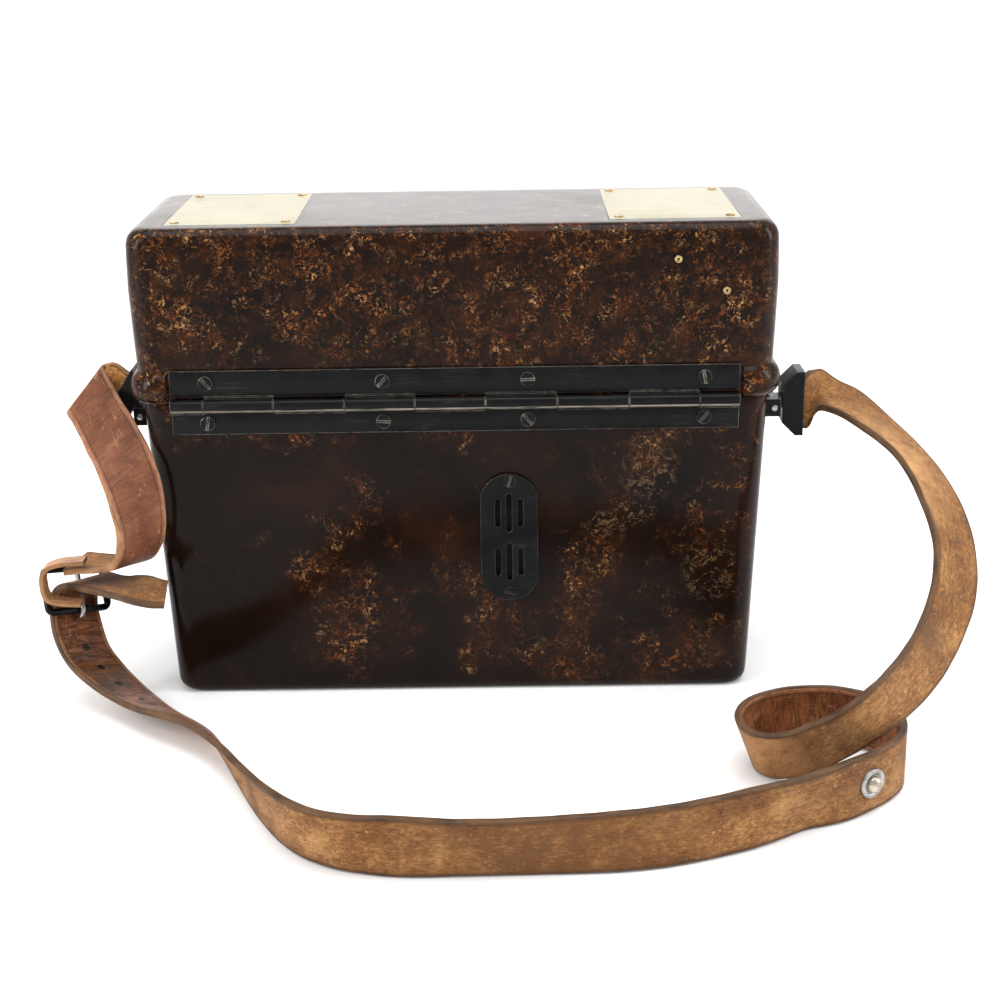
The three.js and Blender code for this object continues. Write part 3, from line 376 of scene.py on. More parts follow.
def grain_leather(name, low, mid, high, creases=0.5, gloss=(0.38, 0.6), holes=(), spots=()):
    """Smooth side of strap leather: fine pebble, cross creases, scuffs and paler rubbed edges."""
    n = Nodes(name)
    uv = n.coords("UV")
    v = n.coords()
    cloud = n.noise(uv, 42, 5, 0.65, 0.5)
    colour = n.ramp(cloud, [(0.32, low), (0.52, mid), (0.72, high)])
    pebble = n.cells(n.shifted(uv, n.noise(uv, 300, 2, 0.5, 0.0, True), 0.0012), 1100)
    crease_field = n.noise(n.coords("UV", (0.16, 1, 1)), 330, 4, 0.6, 0.9)
    crease = n.ramp(n.apart(crease_field, 0.5), [(0.0, 1.0), (0.045, 0.0)])
    crease = n.times(crease, creases)
    colour = n.mix(crease, colour, tuple(c * 0.35 for c in low))
    scuff = n.ramp(n.noise(n.coords("UV", (1.0, 0.25, 1)), 420, 4, 0.7, 1.0), [(0.6, 0.0), (0.72, 0.7)])
    colour = n.mix(scuff, colour, tuple(min(1, c * 1.5 + 0.06) for c in high))
    across = n.math("DIVIDE", n.apart(n.part(uv, 0), STRAP_MIDDLE), STRAP_MIDDLE)
    worn = n.ramp(n.noise(uv, 160, 3, 0.6), [(0.3, 0.2), (0.6, 1.0)])
    rubbed = n.times(n.ramp(across, [(0.8, 0.0), (0.97, 1.0)]), worn)
    colour = n.mix(n.times(rubbed, 0.7), colour, tuple(min(1, c * 1.3 + 0.05) for c in high))
    groove = n.ramp(across, [(0.74, 0.0), (0.775, 1.0), (0.8, 1.0), (0.835, 0.0)])
    colour = n.mix(n.times(groove, 0.45), colour, tuple(c * 0.4 for c in low))
    for point, radius, spot_colour in spots:
        patchy = n.ramp(n.noise(uv, 120, 4, 0.7), [(0.4, 0.0), (0.56, 1.0)])
        mark = n.times(n.near(v, point, radius), patchy)
        colour = n.mix(mark, colour, spot_colour)
    # The strap holes are not cut: each is a near-black disc of painted shade, with a dent in the bump.
    hole_shade = None
    for place in holes:
        ring = n.ramp(n.near(uv, place, 0.0021), [(0.12, 0.0), (0.3, 1.0)])
        hole_shade = ring if hole_shade is None else n.math("MAXIMUM", hole_shade, ring)
    height = n.math("SUBTRACT", n.times(pebble, 0.25), n.times(crease, 0.9))
    height = n.math("SUBTRACT", height, n.times(groove, 0.4))
    if hole_shade is not None:
        colour = n.mix(hole_shade, colour, (0.006, 0.004, 0.003))
        height = n.math("SUBTRACT", height, n.times(hole_shade, 3.0))
    rough = n.ramp(n.noise(uv, 60, 4, 0.6), [(0.3, gloss[0]), (0.7, gloss[1])])
    return n.finish(colour, rough, 0.0, n.bump(height, 0.55, 0.0004), 0.2)


def cut_edge(name, dark, light):
    """The cut edge of leather: darkened, layered and fibrous."""
    n = Nodes(name)
    uv = n.coords("UV")
    layers = n.noise(n.coords("UV", (1, 0.06, 1)), 1400, 3, 0.6, 0.4)
    blotch = n.noise(uv, 60, 4, 0.65)
    shade = n.plus(n.times(layers, 0.4), n.times(blotch, 0.6))
    colour = n.ramp(shade, [(0.36, dark), (0.62, light)])
    return n.finish(colour, n.ramp(blotch, [(0.3, 0.55), (0.7, 0.8)]), 0.0, n.bump(layers, 0.5, 0.0003), 0.3)


# ---- mesh helpers -------------------------------------------------------------------------
def new_object(name, vertices, faces, materials, smooth=True, sharp=35):
    """A mesh object from points in millimetres. Edges over sharp degrees stay crisp."""
    mesh = bpy.data.meshes.new(name)
    mesh.from_pydata([tuple(c * MM for c in p) for p in vertices], [], faces)
    mesh.validate()
    for material in materials if isinstance(materials, (list, tuple)) else [materials]:
        mesh.materials.append(material)
    if smooth:
        mesh.polygons.foreach_set("use_smooth", [True] * len(mesh.polygons))
        mesh.set_sharp_from_angle(angle=math.radians(sharp))
    obj = bpy.data.objects.new(name, mesh)
    bpy.context.scene.collection.objects.link(obj)
    return obj


def settle(obj, body, slot, *replaced):
    """Joins obj to a moving body, in place of the CAD nodes it redraws. slot is not used."""
    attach(obj, body)
    if replaced:
        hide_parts(*replaced)
    return obj


def outline(half_x, half_y, radius, steps=10):
    """A rectangle with round corners, from its +X +Y corner round by the left."""
    points = []
    for cx, cy, start in (
        (half_x - radius, half_y - radius, 0),
        (radius - half_x, half_y - radius, 90),
        (radius - half_x, radius - half_y, 180),
        (half_x - radius, radius - half_y, 270),
    ):
        for i in range(steps + 1):
            a = math.radians(start + 90 * i / steps)
            points.append((cx + radius * math.cos(a), cy + radius * math.sin(a)))
    return points


def skin(rings, cap_start=True, cap_end=True):
    """Vertices and faces of equal closed rings joined one to the next."""
    count = len(rings[0])
    vertices = [p for ring in rings for p in ring]
    faces = []
    for level in range(len(rings) - 1):
        for i in range(count):
            j = (i + 1) % count
            a = level * count
            faces.append((a + i, a + j, a + count + j, a + count + i))
    if cap_start:
        faces.append(tuple(reversed(range(count))))
    if cap_end:
        base = (len(rings) - 1) * count
        faces.append(tuple(base + i for i in range(count)))
    return vertices, faces


def lofted(levels, steps=10):
    """Rings for skin from (height, half width, half depth, corner radius)."""
    return [[(x, y, z) for x, y in outline(hx, hy, r, steps)] for z, hx, hy, r in levels]


def joined(name, parts, materials, sharp=35):
    """One object from several (vertices, faces) pairs."""
    vertices, faces = [], []
    for part_vertices, part_faces in parts:
        base = len(vertices)
        vertices += list(part_vertices)
        faces += [tuple(i + base for i in face) for face in part_faces]
    return new_object(name, vertices, faces, materials, True, sharp)


def box_part(x0, y0, z0, x1, y1, z1, r=0.35, steps=2):
    """A block with softly rounded edges all round."""
    rings = []
    hx, hy = (x1 - x0) / 2, (y1 - y0) / 2
    cx, cy = (x0 + x1) / 2, (y0 + y1) / 2
    heights = []
    for i in range(steps + 1):
        a = math.pi / 2 * i / steps
        heights.append((z0 + r * (1 - math.cos(a)), r * (1 - math.sin(a))))
    for i in range(steps + 1):
        a = math.pi / 2 * i / steps
        heights.append((z1 - r * (1 - math.cos(math.pi / 2 - a)), r * (1 - math.sin(math.pi / 2 - a))))
    for z, inset in heights:
        flat = outline(hx - inset, hy - inset, max(r - inset, 0.02) + 0.02, steps)
        rings.append([(cx + x, cy + y, z) for x, y in flat])
    return skin(rings)


def turned_part(profile, origin, axis, sides=40):
    """A body turned about an axis: profile of (radius, distance along the axis)."""
    axis = Vector(axis).normalized()
    side = axis.orthogonal().normalized()
    other = axis.cross(side)
    rings = []
    for radius, along in profile:
        ring = []
        for i in range(sides):
            a = 2 * math.pi * i / sides
            p = Vector(origin) + axis * along + (side * math.cos(a) + other * math.sin(a)) * max(radius, 1e-3)
            ring.append(tuple(p))
        rings.append(ring)
    return skin(rings)


def swept_part(points, radius, sides=14, closed=False):
    """A round wire through points."""
    points = [Vector(p) for p in points]
    count = len(points)
    rings = []
    reference = None
    for i, p in enumerate(points):
        before = points[(i - 1) % count] if closed or i else p
        after = points[(i + 1) % count] if closed or i + 1 < count else p
        along = (after - before).normalized()
        if reference is None:
            reference = along.orthogonal().normalized()
        reference = (reference - along * reference.dot(along)).normalized()
        other = along.cross(reference)
        ring = []
        for k in range(sides):
            a = 2 * math.pi * k / sides
            ring.append(tuple(p + reference * radius * math.cos(a) + other * radius * math.sin(a)))
        rings.append(ring)
    if closed:
        vertices, faces = skin(rings, False, False)
        last = (count - 1) * sides
        for k in range(sides):
            j = (k + 1) % sides
            faces.append((last + k, last + j, j, k))
        return vertices, faces
    return skin(rings)


def frame_of(origin, x, y, z):
    """Maps points from a local frame to the row frame."""
    def place(part):
        vertices, faces = part
        out = []
        for a, b, c in vertices:
            out.append(tuple(origin[i] + x[i] * a + y[i] * b + z[i] * c for i in range(3)))
        return out, faces
    return place


def slotted_screw(at, out, radius, height, turn, slot=0.45):
    """A cheese head with a cut slot: a base disc and two raised halves."""
    out = Vector(out).normalized()
    side = out.orthogonal().normalized()
    side = Matrix.Rotation(turn, 3, out) @ side
    other = out.cross(side)
    place = frame_of(at, side, other, out)
    base = [(radius, 0), (radius, height * 0.45), (0, height * 0.45)]
    parts = [place(turned_part(base, (0, 0, 0), (0, 0, 1), 28))]
    for sign in (-1, 1):
        half = []
        start = math.asin(min(0.9, slot / radius))
        for i in range(15):
            a = start + (math.pi - 2 * start) * i / 14
            half.append((radius * math.cos(a), sign * radius * math.sin(a)))
        if sign < 0:
            half.reverse()
        rings = []
        for z, shrink in ((height * 0.4, 1.0), (height * 0.82, 1.0), (height * 0.97, 0.93), (height, 0.8)):
            cy = sign * slot
            rings.append([(x * shrink, cy + (y - cy) * shrink, z) for x, y in half])
        parts.append(place(skin(rings)))
    return parts


# ---- strap route, as the CAD solids lie ---------------------------------------------------
# Each row is a place along the strap: one edge's x, y, z, then the other edge's.
LONG = [
    [155.5, -17, 112, 156.5, -12, 137], [158, -20, 118.5, 164, -0.5, 134],
    [160.5, -23.5, 122.5, 171.5, -1.5, 128.5], [168, -30.5, 121.5, 180.5, -9, 125],
    [177, -38.5, 117, 191.5, -17.5, 116], [186.5, -47.5, 111, 202, -28, 107],
    [192.5, -57.5, 103.5, 211, -41, 97], [197, -68.5, 92.5, 217.5, -55.5, 85],
    [199.5, -81, 81, 220, -69, 71.5], [196, -97, 68.5, 216.5, -87, 57],
    [187.5, -114, 59, 206, -106, 44], [177.5, -131, 54, 194.5, -123, 36.5],
    [167, -145, 50, 182, -136.5, 31], [159, -155.5, 49, 173, -146.5, 29.5],
    [152.5, -156.5, 43.5, 163.5, -147.5, 22.5], [146, -152.5, 36.5, 155.5, -143.5, 14.5],
    [137.5, -148, 30, 144.5, -140.5, 6.5], [128.5, -147, 25.5, 133, -138, 2],
    [121, -145, 24.5, 126, -135.5, 1], [115.5, -140.5, 24, 122, -131, 1],
    [113, -133, 24, 121.5, -126, 1], [112.5, -125, 24, 121.5, -121, 1],
    [114.5, -117, 24, 122.5, -116.5, 1], [118.5, -110.5, 24, 125, -113, 1],
    [124.5, -106, 24.5, 129, -110.5, 1], [132.5, -103, 25, 134.5, -109, 0.5],
    [144, -101.5, 25.5, 144, -106.5, 0.5], [155, -103, 26, 154, -106.5, 0.5],
    [165.5, -107.5, 26, 165.5, -108.5, 0.5], [173.5, -115, 26, 173.5, -115, 0.5],
    [178, -126, 26, 178, -126, 0.5], [178, -138.5, 26, 178, -138.5, 0.5],
    [173, -150.5, 26, 173, -150.5, 0.5], [161, -162, 26, 161, -162, 0.5],
    [147, -171.5, 26, 147, -171.5, 0.5], [132, -181, 25.5, 134, -175, 0.5],
    [114.5, -188.5, 26, 115.5, -187.5, 0.5], [96, -197, 26, 96.5, -195.5, 0.5],
    [78, -203, 26, 78.5, -201.5, 0.5], [60, -206.5, 26, 60.5, -204.5, 0.5],
    [38.5, -209, 25.5, 38.5, -205, 0.5], [17, -210.5, 25.5, 17, -205.5, 0.5],
    [-4, -210, 25.5, -5, -206, 0.5], [-18.5, -208.5, 26, -19.5, -206, 0.5],
    [-38.5, -206, 25.5, -38.5, -202, 0.5], [-53, -200.5, 25.5, -51.5, -195.5, 0.5],
    [-62.5, -192.5, 25.5, -61.5, -186, 0.5], [-69, -183, 24, -70, -173, 0.5],
    [-74.5, -171.5, 21, -78.5, -156.5, 0.5], [-81, -155.5, 16.5, -87, -136.5, 0.5],
    [-88, -141.5, 14, -93.5, -120.5, 1], [-95.5, -127.5, 13, -100, -105, 1],
    [-105, -114.5, 13, -106.5, -92, 1.5], [-115, -105, 14, -114, -82.5, 1.5],
    [-124.5, -98, 13.5, -120.5, -76, 1.5], [-136, -89.5, 12, -128, -67.5, 1.5],
    [-149, -76.5, 10.5, -137.5, -55, 2.5], [-160.5, -68.5, 13.5, -146, -48.5, 7],
    [-171.5, -59.5, 18, -155, -41, 13.5], [-176.5, -60, 27.5, -159, -42, 21.5],
    [-178.5, -59, 35.5, -161, -41.5, 29], [-180, -54.5, 42, -164, -35, 36],
    [-181, -51, 46, -165, -32, 40], [-180.5, -49, 50, -165, -30, 44],
    [-177, -50.5, 54, -162.5, -30, 48.5], [-172, -54, 55.5, -159, -32, 52.5],
    [-146, -78, 60, -145.5, -52.5, 58], [-140, -81, 59, -140, -55.5, 60],
    [-134.5, -82, 58, -134.5, -56.5, 60], [-129, -82, 57, -130.5, -56.5, 58.5],
    [-124, -81, 56.5, -127, -55.5, 57],
]
SHORT = [
    [-166, -18.5, 123.5, -151, -14, 145.5],
    [-171.5, -23, 124.5, -155.5, -14, 144], [-168, -29, 121, -152.5, -17, 138],
    [-163, -38, 116.5, -147, -24, 131], [-158, -48, 112.5, -140, -35.5, 126],
    [-153, -57, 108.5, -135, -43, 120], [-149.5, -64, 103.5, -130.5, -49.5, 114.5],
    [-146.5, -69, 99, -127.5, -53.5, 106.5], [-144.5, -73, 93.5, -125.5, -55.5, 99],
    [-142.5, -76, 89, -125.5, -56.5, 91], [-142, -77, 84.5, -126, -56.5, 84],
    [-143, -76, 79, -127.5, -55, 77.5], [-145, -73.5, 74, -131, -51.5, 71.5],
    [-148, -68.5, 69.5, -135.5, -46, 65.5], [-152, -65.5, 67.5, -142.5, -42, 63.5],
    [-157.5, -64, 66.5, -150, -39, 63], [-164, -62, 65.5, -157.5, -37, 63],
    [-171, -60, 64, -165.5, -34.5, 63],
]
PIVOT = (139.5, -12.0, 123.5)
SWING = math.radians(33)
TURN = (
    (13.5, -3.7, 12.4), (11.8, -3.7, 12.1), (9.2, -2.6, 9.4), (8.1, 0, 7.8),
    (9.2, 2.6, 9.4), (11.8, 3.6, 12.1), (14.6, 3.4, 12.3),
)


def turn_stations(side):
    """The strap's turn round a shackle's bar, as left and right edge points."""
    angle = SWING if side < 0 else 0.0
    out = (side * math.cos(angle), math.sin(angle))
    up = (math.sin(angle) if side < 0 else 0.0, math.cos(angle))
    rows = []
    for reach, depth, half in TURN:
        x = side * PIVOT[0] + out[0] * reach
        z = PIVOT[2] + out[1] * reach
        y = PIVOT[1] - depth
        rows.append([x - up[0] * half, y, z - up[1] * half, x + up[0] * half, y, z + up[1] * half])
    return rows


def spline(rows, step):
    """A smooth curve through rows of numbers, with a row about every step along its middle."""
    p = np.array(rows, float)
    p = np.vstack([2 * p[0] - p[1], p, 2 * p[-1] - p[-2]])
    out = []
    for i in range(1, len(p) - 2):
        a, b, c, d = p[i - 1], p[i], p[i + 1], p[i + 2]
        span = np.linalg.norm(((c - b)[:3] + (c - b)[3:]) / 2)
        count = max(1, int(round(span / step)))
        for k in range(count):
            t = k / count
            square = (2 * a - 5 * b + 4 * c - d) * t**2
            cube = (3 * b - a - 3 * c + d) * t**3
            out.append(0.5 * (2 * b + (c - a) * t + square + cube))
    out.append(p[-2])
    return np.array(out)


def smoothed(rows, sigma, keep_start=0, keep_end=0):
    """rows averaged along their length, with the ends left alone."""
    reach = int(3 * sigma)
    weights = np.exp(-0.5 * (np.arange(-reach, reach + 1) / sigma) ** 2)
    weights /= weights.sum()
    padded = np.vstack([rows[:1].repeat(reach, 0), rows, rows[-1:].repeat(reach, 0)])
    soft = np.stack([np.convolve(padded[:, i], weights, "valid") for i in range(rows.shape[1])], 1)
    share = np.ones(len(rows))
    index = np.arange(len(rows))
    if keep_start:
        share = np.minimum(share, np.clip((index - keep_start) / 12, 0, 1))
    if keep_end:
        share = np.minimum(share, np.clip((len(rows) - 1 - keep_end - index) / 12, 0, 1))
    return rows + (soft - rows) * share[:, None]


def strip_section(t, r):
    """Half a strip's section all round: (side -1..1, inset, height, face). Faces: 0 top, 1 under, 2 cut."""
    flat = 8
    turn = [(math.sin(a), math.cos(a)) for a in (math.pi / 8, math.pi / 4, math.pi * 3 / 8)]
    section = [(-1 + 2 * i / flat, r * (1 - 2 * i / flat), t, 0) for i in range(flat + 1)]
    section += [(1, r * (1 - sin), t - r * (1 - cos), 2) for sin, cos in turn]
    section += [(1, r * (1 - cos), -(t - r) - r * sin, 2) for sin, cos in turn]
    section += [(1 - 2 * i / flat, -r * (1 - 2 * i / flat), -t, 1) for i in range(flat + 1)]
    section += [(-1, -r * (1 - sin), -(t - r * (1 - cos)), 2) for sin, cos in turn]
    section += [(-1, -r * (1 - cos), (t - r) + r * sin, 2) for sin, cos in turn]
    return section


def strap(name, rows, thickness, face_materials, step=1.5, soften=(3, 0, 0)):
    """Leather strip with rounded edges. Materials: flesh side (+normal), grain side, cut edge."""
    line = smoothed(spline(rows, step), *soften)
    left, right = line[:, :3], line[:, 3:]
    middle = (left + right) / 2
    along = np.gradient(middle, axis=0)
    along /= np.linalg.norm(along, axis=1)[:, None]
    across = right - left
    half = np.linalg.norm(across, axis=1) / 2
    across /= (2 * half)[:, None]
    normal = np.cross(along, across)
    normal /= np.linalg.norm(normal, axis=1)[:, None]
    t = thickness / 2
    section = strip_section(t, min(0.8, t * 0.6))
    count = len(section)
    vertices = []
    distance = np.concatenate([[0], np.cumsum(np.linalg.norm(np.diff(middle, axis=0), axis=1))])
    phase = random.uniform(0, 100)
    for i in range(len(line)):
        s = distance[i]
        swell = 0.12 * math.sin(s * 0.11 + phase) + 0.08 * math.sin(s * 0.37 + phase * 2)
        for side, inset, height, _ in section:
            reach = side * half[i]
            if abs(side) == 1 and inset:
                reach -= math.copysign(abs(inset), side)
            reach += side * (swell * 0.8 - 0.1)
            wave = 0.07 * math.sin(s * 0.8 + side * 5 + phase) * (1 - abs(side))
            out = height * (0.97 + 0.03 * abs(side)) + wave
            p = middle[i] + across[i] * reach + normal[i] * out
            p[2] = max(p[2], FLOOR_CLEARANCE)
            vertices.append(tuple(p))
    faces, which, uvs = [], [], []
    for i in range(len(line) - 1):
        a, b = distance[i], distance[i + 1]
        for k, (side, _, height, face) in enumerate(section):
            j = (k + 1) % count
            next_side, _, next_height, next_face = section[j]
            faces.append((i * count + k, i * count + j, (i + 1) * count + j, (i + 1) * count + k))
            if face == next_face and face != 2:
                which.append(face)
                u0, u1 = (side + 1) / 2 * STRAP_WIDTH, (next_side + 1) / 2 * STRAP_WIDTH
            else:
                which.append(2)
                u0, u1 = height + t, next_height + t
            uvs += [(u0, a), (u1, a), (u1, b), (u0, b)]
    last = (len(line) - 1) * count
    faces.append(tuple(reversed(range(count))))
    faces.append(tuple(range(last, last + count)))
    which += [2, 2]
    for face in faces[-2:]:
        uvs += [(vertices[i][0], vertices[i][2]) for i in face]
    obj = new_object(name, vertices, faces, face_materials, True, 55)
    obj.data.polygons.foreach_set("material_index", which)
    layer = obj.data.uv_layers.new(name="UVMap")
    layer.data.foreach_set("uv", [c * MM for uv in uvs for c in uv])
    return obj


def distance_to(rows, step, soften, points):
    """How far along the strip each point lies."""
    line = smoothed(spline(rows, step), *soften)
    middle = (line[:, :3] + line[:, 3:]) / 2
    run = np.concatenate([[0], np.cumsum(np.linalg.norm(np.diff(middle, axis=0), axis=1))])
    return [float(run[np.argmin(np.linalg.norm(middle - np.array(p), axis=1))]) for p in points]


# ---- material set -------------------------------------------------------------------------
def metres(*point):
    return tuple(c * MM for c in point)


SCARS = [
    (metres(64, -49, 79), 13 * MM, (1, 0.2, 1.6)),
    (metres(76, -49, 84), 10 * MM, (0.8, 0.2, 1.3)),
    (metres(83, -49, 103), 17 * MM, (1.1, 0.2, 1.0)),
    (metres(110, -49, 57), 20 * MM, (1.3, 0.2, 1.0)),
]
case_bakelite = bakelite("bakelite_case", 0.02, SCARS)
lid_bakelite = bakelite("bakelite_lid", 0.22)
black_steel = enamelled_steel("black_enamel", 0.6)
# The hinge's band runs along the knuckles' lower front: a painted highlight there, as well as wear.
hinge_steel = enamelled_steel("hinge_enamel", 0.9, (0.5, 0.45, 0.37), rub_and_highlight_band=(133.9 * MM, 0.9 * MM))
buckle_steel = enamelled_steel("buckle_enamel", 0.7, grain=(900, 900, 60))
bright_steel = metal(
    "bright_steel", (0.25, 0.25, 0.25), (0.5, 0.5, 0.49), stains=(0.08, 0.06, 0.045), grain=(60, 900, 900),
)
brass = metal("aged_brass", (0.36, 0.25, 0.1), (0.62, 0.46, 0.22), (0.22, 0.45))
stud_metal = metal("stud_nickel", (0.42, 0.36, 0.28), (0.68, 0.62, 0.52), (0.18, 0.4), (0.16, 0.12, 0.08))
copper = metal(
    "copper_winding", (0.16, 0.04, 0.012), (0.42, 0.13, 0.04), (0.3, 0.5), (0.06, 0.02, 0.01), (1, 1, 2600),
)
iron = metal("magnet_iron", (0.05, 0.05, 0.055), (0.12, 0.12, 0.12), (0.4, 0.6), (0.04, 0.02, 0.012))
black_plastic = plastic("black_plastic", (0.004, 0.004, 0.0045), (0.012, 0.011, 0.011))
# Near-black matte finish for the sheet of painted shade inside the sound window.
shade_black = plastic("shade_black", (0.002, 0.002, 0.002), (0.005, 0.005, 0.005), (0.8, 0.95))
card = plastic("battery_card", (0.16, 0.11, 0.06), (0.3, 0.22, 0.13), (0.7, 0.9), (0.4, 0.33, 0.22))
plate_ivory = ivory("writing_plate")
by_slot = {
    "bakelite": case_bakelite,
    "ivory": plate_ivory,
    "black_steel": black_steel,
    "bright_steel": bright_steel,
    "leather": None,
    "brass": brass,
    "black_plastic": black_plastic,
    "copper_winding": copper,
    "magnet_iron": iron,
    "card": card,
}

# ---- CAD nodes that keep their shape: material, welded seams and softened edges -----------
for part in frame["record"]["subparts"]:
    node = nodes[part["node"]]
    finish = by_slot[part["material_slot"]]
    if finish is None:
        continue
    node.data.materials.clear()
    node.data.materials.append(finish)
    node.data.polygons.foreach_set("use_smooth", [True] * len(node.data.polygons))
    if "custom_normal" in node.data.attributes:
        node.data.attributes.remove(node.data.attributes["custom_normal"])
    weld = node.modifiers.new("weld", "WELD")
    weld.merge_threshold = 0.02 * MM
    bevel = node.modifiers.new("bevel", "BEVEL")
    bevel.width = 0.22 * MM
    bevel.segments = 2
    bevel.limit_method = "ANGLE"
    bevel.angle_limit = math.radians(38)
    node.modifiers.new("normals", "WEIGHTED_NORMAL")


# ---- case and lid shells ------------------------------------------------------------------
# Levels are (height, half width, half depth, corner radius).
CORNER = 11
WALL = 4


def case_size(z):
    """Half width and half depth of the tapered case at a height."""
    rise = (z - 5) / 131
    return 128.8 + 5.2 * rise, 47.4 + 2.6 * rise


def case_ring(z, inset):
    hx, hy = case_size(z)
    return z, hx - inset, hy - inset, max(CORNER - inset, 4)


outer = [
    (0, 122.5, 41, 6),
    (0, 124.3, 42.8, 7),
    (0.25, 125.4, 44.0, 8),
    (0.9, 126.6, 45.2, 9),
    (2.2, 127.8, 46.4, 9.8),
    (4.2, 128.55, 47.15, 10.3),
]
outer += [case_ring(z, 0) for z in (6, 20, 50, 80, 110, 130, 135.4)]
mouth = [case_ring(135.85, 0.18), case_ring(136, 0.6), case_ring(136, 3.4), case_ring(135.8, 3.85)]
inner = [case_ring(z, WALL) for z in (135, 127, 125.7)]
inner += [case_ring(z, WALL + 3) for z in (125.5, 121)]
inner += [case_ring(z, WALL) for z in (116, 80, 40, 8)]
inner += [(5, 124.0, 42.6, 6), (4, 122.4, 41, 5)]
case_vertices, case_faces = skin(lofted(outer + mouth + inner, 12))
case_shell = new_object("case_moulding", case_vertices, case_faces, case_bakelite, True, 40)


def cut(obj, parts):
    """Cuts openings through obj with closed shapes."""
    for index, part in enumerate(parts):
        tool = new_object(f"cutter_{index}", *part, obj.data.materials[0])
        change = obj.modifiers.new("cut", "BOOLEAN")
        change.object = tool
        change.solver = "EXACT"
        bpy.context.view_layer.update()
        graph = bpy.context.evaluated_depsgraph_get()
        mesh = bpy.data.meshes.new_from_object(obj.evaluated_get(graph))
        obj.modifiers.clear()
        obj.data = mesh
        bpy.data.objects.remove(tool)
    obj.data.polygons.foreach_set("use_smooth", [True] * len(obj.data.polygons))
    obj.data.set_sharp_from_angle(angle=math.radians(30))


window = box_part(15.2, -58, 53, 29.2, -42, 95, 2)
crank_hole = turned_part([(0, 0), (8.4, 0), (8.4, 20), (0, 20)], (118, -4, 66), (1, 0, 0), 40)
cut(case_shell, [window, crank_hole])
settle(case_shell, "case", "bakelite", "case_shell")
catch = joined("latch_catch", [box_part(-9, 48.5, 121, 9, 55.2, 125, 0.8)], case_bakelite)
settle(catch, "case", "bakelite")

lid_outer = [
    (136.55, 134.8, 49.5, 10.6),
    (136.4, 135.1, 49.8, 10.9),
    (136.7, 135.3, 50, 11),
    (150, 135.7, 50, 11),
    (165, 136.3, 50, 11),
    (184, 136.9, 50, 11),
    (196, 136.7, 49.8, 11),
]
for i in range(0, 10):
    a = math.pi / 2 * i / 9
    inset = 6.6 * (1 - math.cos(a))
    corner = max(11 - inset * 0.75, 5)
    lid_outer.append((202.2 + 7.8 * math.sin(a), 136.5 - inset, 49.6 - inset, corner))
lid_outer.append((210, 126, 39.5, 5))
lid_inner = [
    (206, 122, 36, 3),
    (206, 129, 43, 5),
    (205, 131, 44.6, 6),
    (202, 132, 45.6, 7),
    (184, 132.4, 46, 7),
    (137, 130.6, 46, 7),
    (136.5, 130.9, 46.3, 7.3),
    (136.4, 131.4, 46.8, 7.8),
]
vertices, faces = skin(lofted(lid_inner + lid_outer, 12))

# The rim's section: (how far out, height).
RIM = (
    (-0.3, 136.4), (1.4, 136.45), (2.2, 136.75), (3.2, 137.7), (3.95, 139), (4.35, 140.8), (4.45, 142.6),
    (4.25, 144.5), (3.75, 146.1), (3.0, 147.4), (2.1, 148.4), (1.1, 149.2), (0.1, 149.9), (-0.3, 150),
)
RIM_MIDDLE = 143.2


def rim_part():
    """The rolled rim, open across the hinge, with rounded ends."""
    path = outline(134.6, 50, 11, 14)
    round_the_lid = path[45:60] + path[0:45]
    line = [(121.9, -50.0), (122.6, -50.0)] + round_the_lid + [(-122.6, -50.0), (-121.9, -50.0)]
    rings = []
    total = len(line)
    for i, (x, y) in enumerate(line):
        ax, ay = line[max(i - 1, 0)]
        bx, by = line[min(i + 1, total - 1)]
        length = math.hypot(bx - ax, by - ay)
        nx, ny = (by - ay) / length, -(bx - ax) / length
        edge = min(i, total - 1 - i)
        size = (0.9, 0.985)[edge] if edge < 2 else 1.0
        squeeze = 0.55 + 0.45 * size
        ring = []
        for out, z in RIM:
            height = RIM_MIDDLE + (z - RIM_MIDDLE) * squeeze
            ring.append((x + nx * out * size, y + ny * out * size, height))
        rings.append(ring)
    return skin(rings)


rim_vertices, rim_faces = rim_part()
lid_shell = joined("lid_moulding", [(vertices, faces), (rim_vertices, rim_faces)], lid_bakelite, 40)
bm = bmesh.new()
bm.from_mesh(lid_shell.data)
bmesh.ops.recalc_face_normals(bm, faces=bm.faces)
bm.to_mesh(lid_shell.data)
bm.free()
settle(lid_shell, "lid", "bakelite", "lid_shell")

# ---- writing plates, the painted shade round them, and their screws -----------------------
for side, name in ((-1, "left"), (1, "right")):
    x0, x1 = (-121, -65.8) if side < 0 else (65.8, 121)
    plate = joined(f"writing_plate_{name}", [box_part(x0, -37, 209.3, x1, 40, 210.12, 0.3)], plate_ivory)
    settle(plate, "lid", "ivory", f"top_plate_{name}")
    # Painted shade: a near-black rim round each plate, standing in for the shadowed gap between plate and
    # lid.
    gap_shade = [box_part(x0 - 0.7, -37.7, 209.2, x1 + 0.7, 40.7, 210.03, 0.2)]
    settle(joined(f"plate_gap_shade_{name}", gap_shade, black_plastic), "lid", "bakelite")
    screws = []
    for x in (x0 + 4.2, x1 - 4.2):
        for y in (-32.5, 35.5):
            screws += slotted_screw((x, y, 210.1), (0, 0, 1), 1.9, 0.7, random.uniform(0, 3.1), 0.3)
    settle(joined(f"plate_screws_{name}", screws, brass), "lid", "brass")

# ---- hinge --------------------------------------------------------------------------------
ENDS = (-120.4, -106.4, -76.6, -46.6, -16.9, 12.9, 43.2, 73.5, 103.4, 120.4)
SCREW_X = (-105.2, -30.5, 30.8, 105.4)


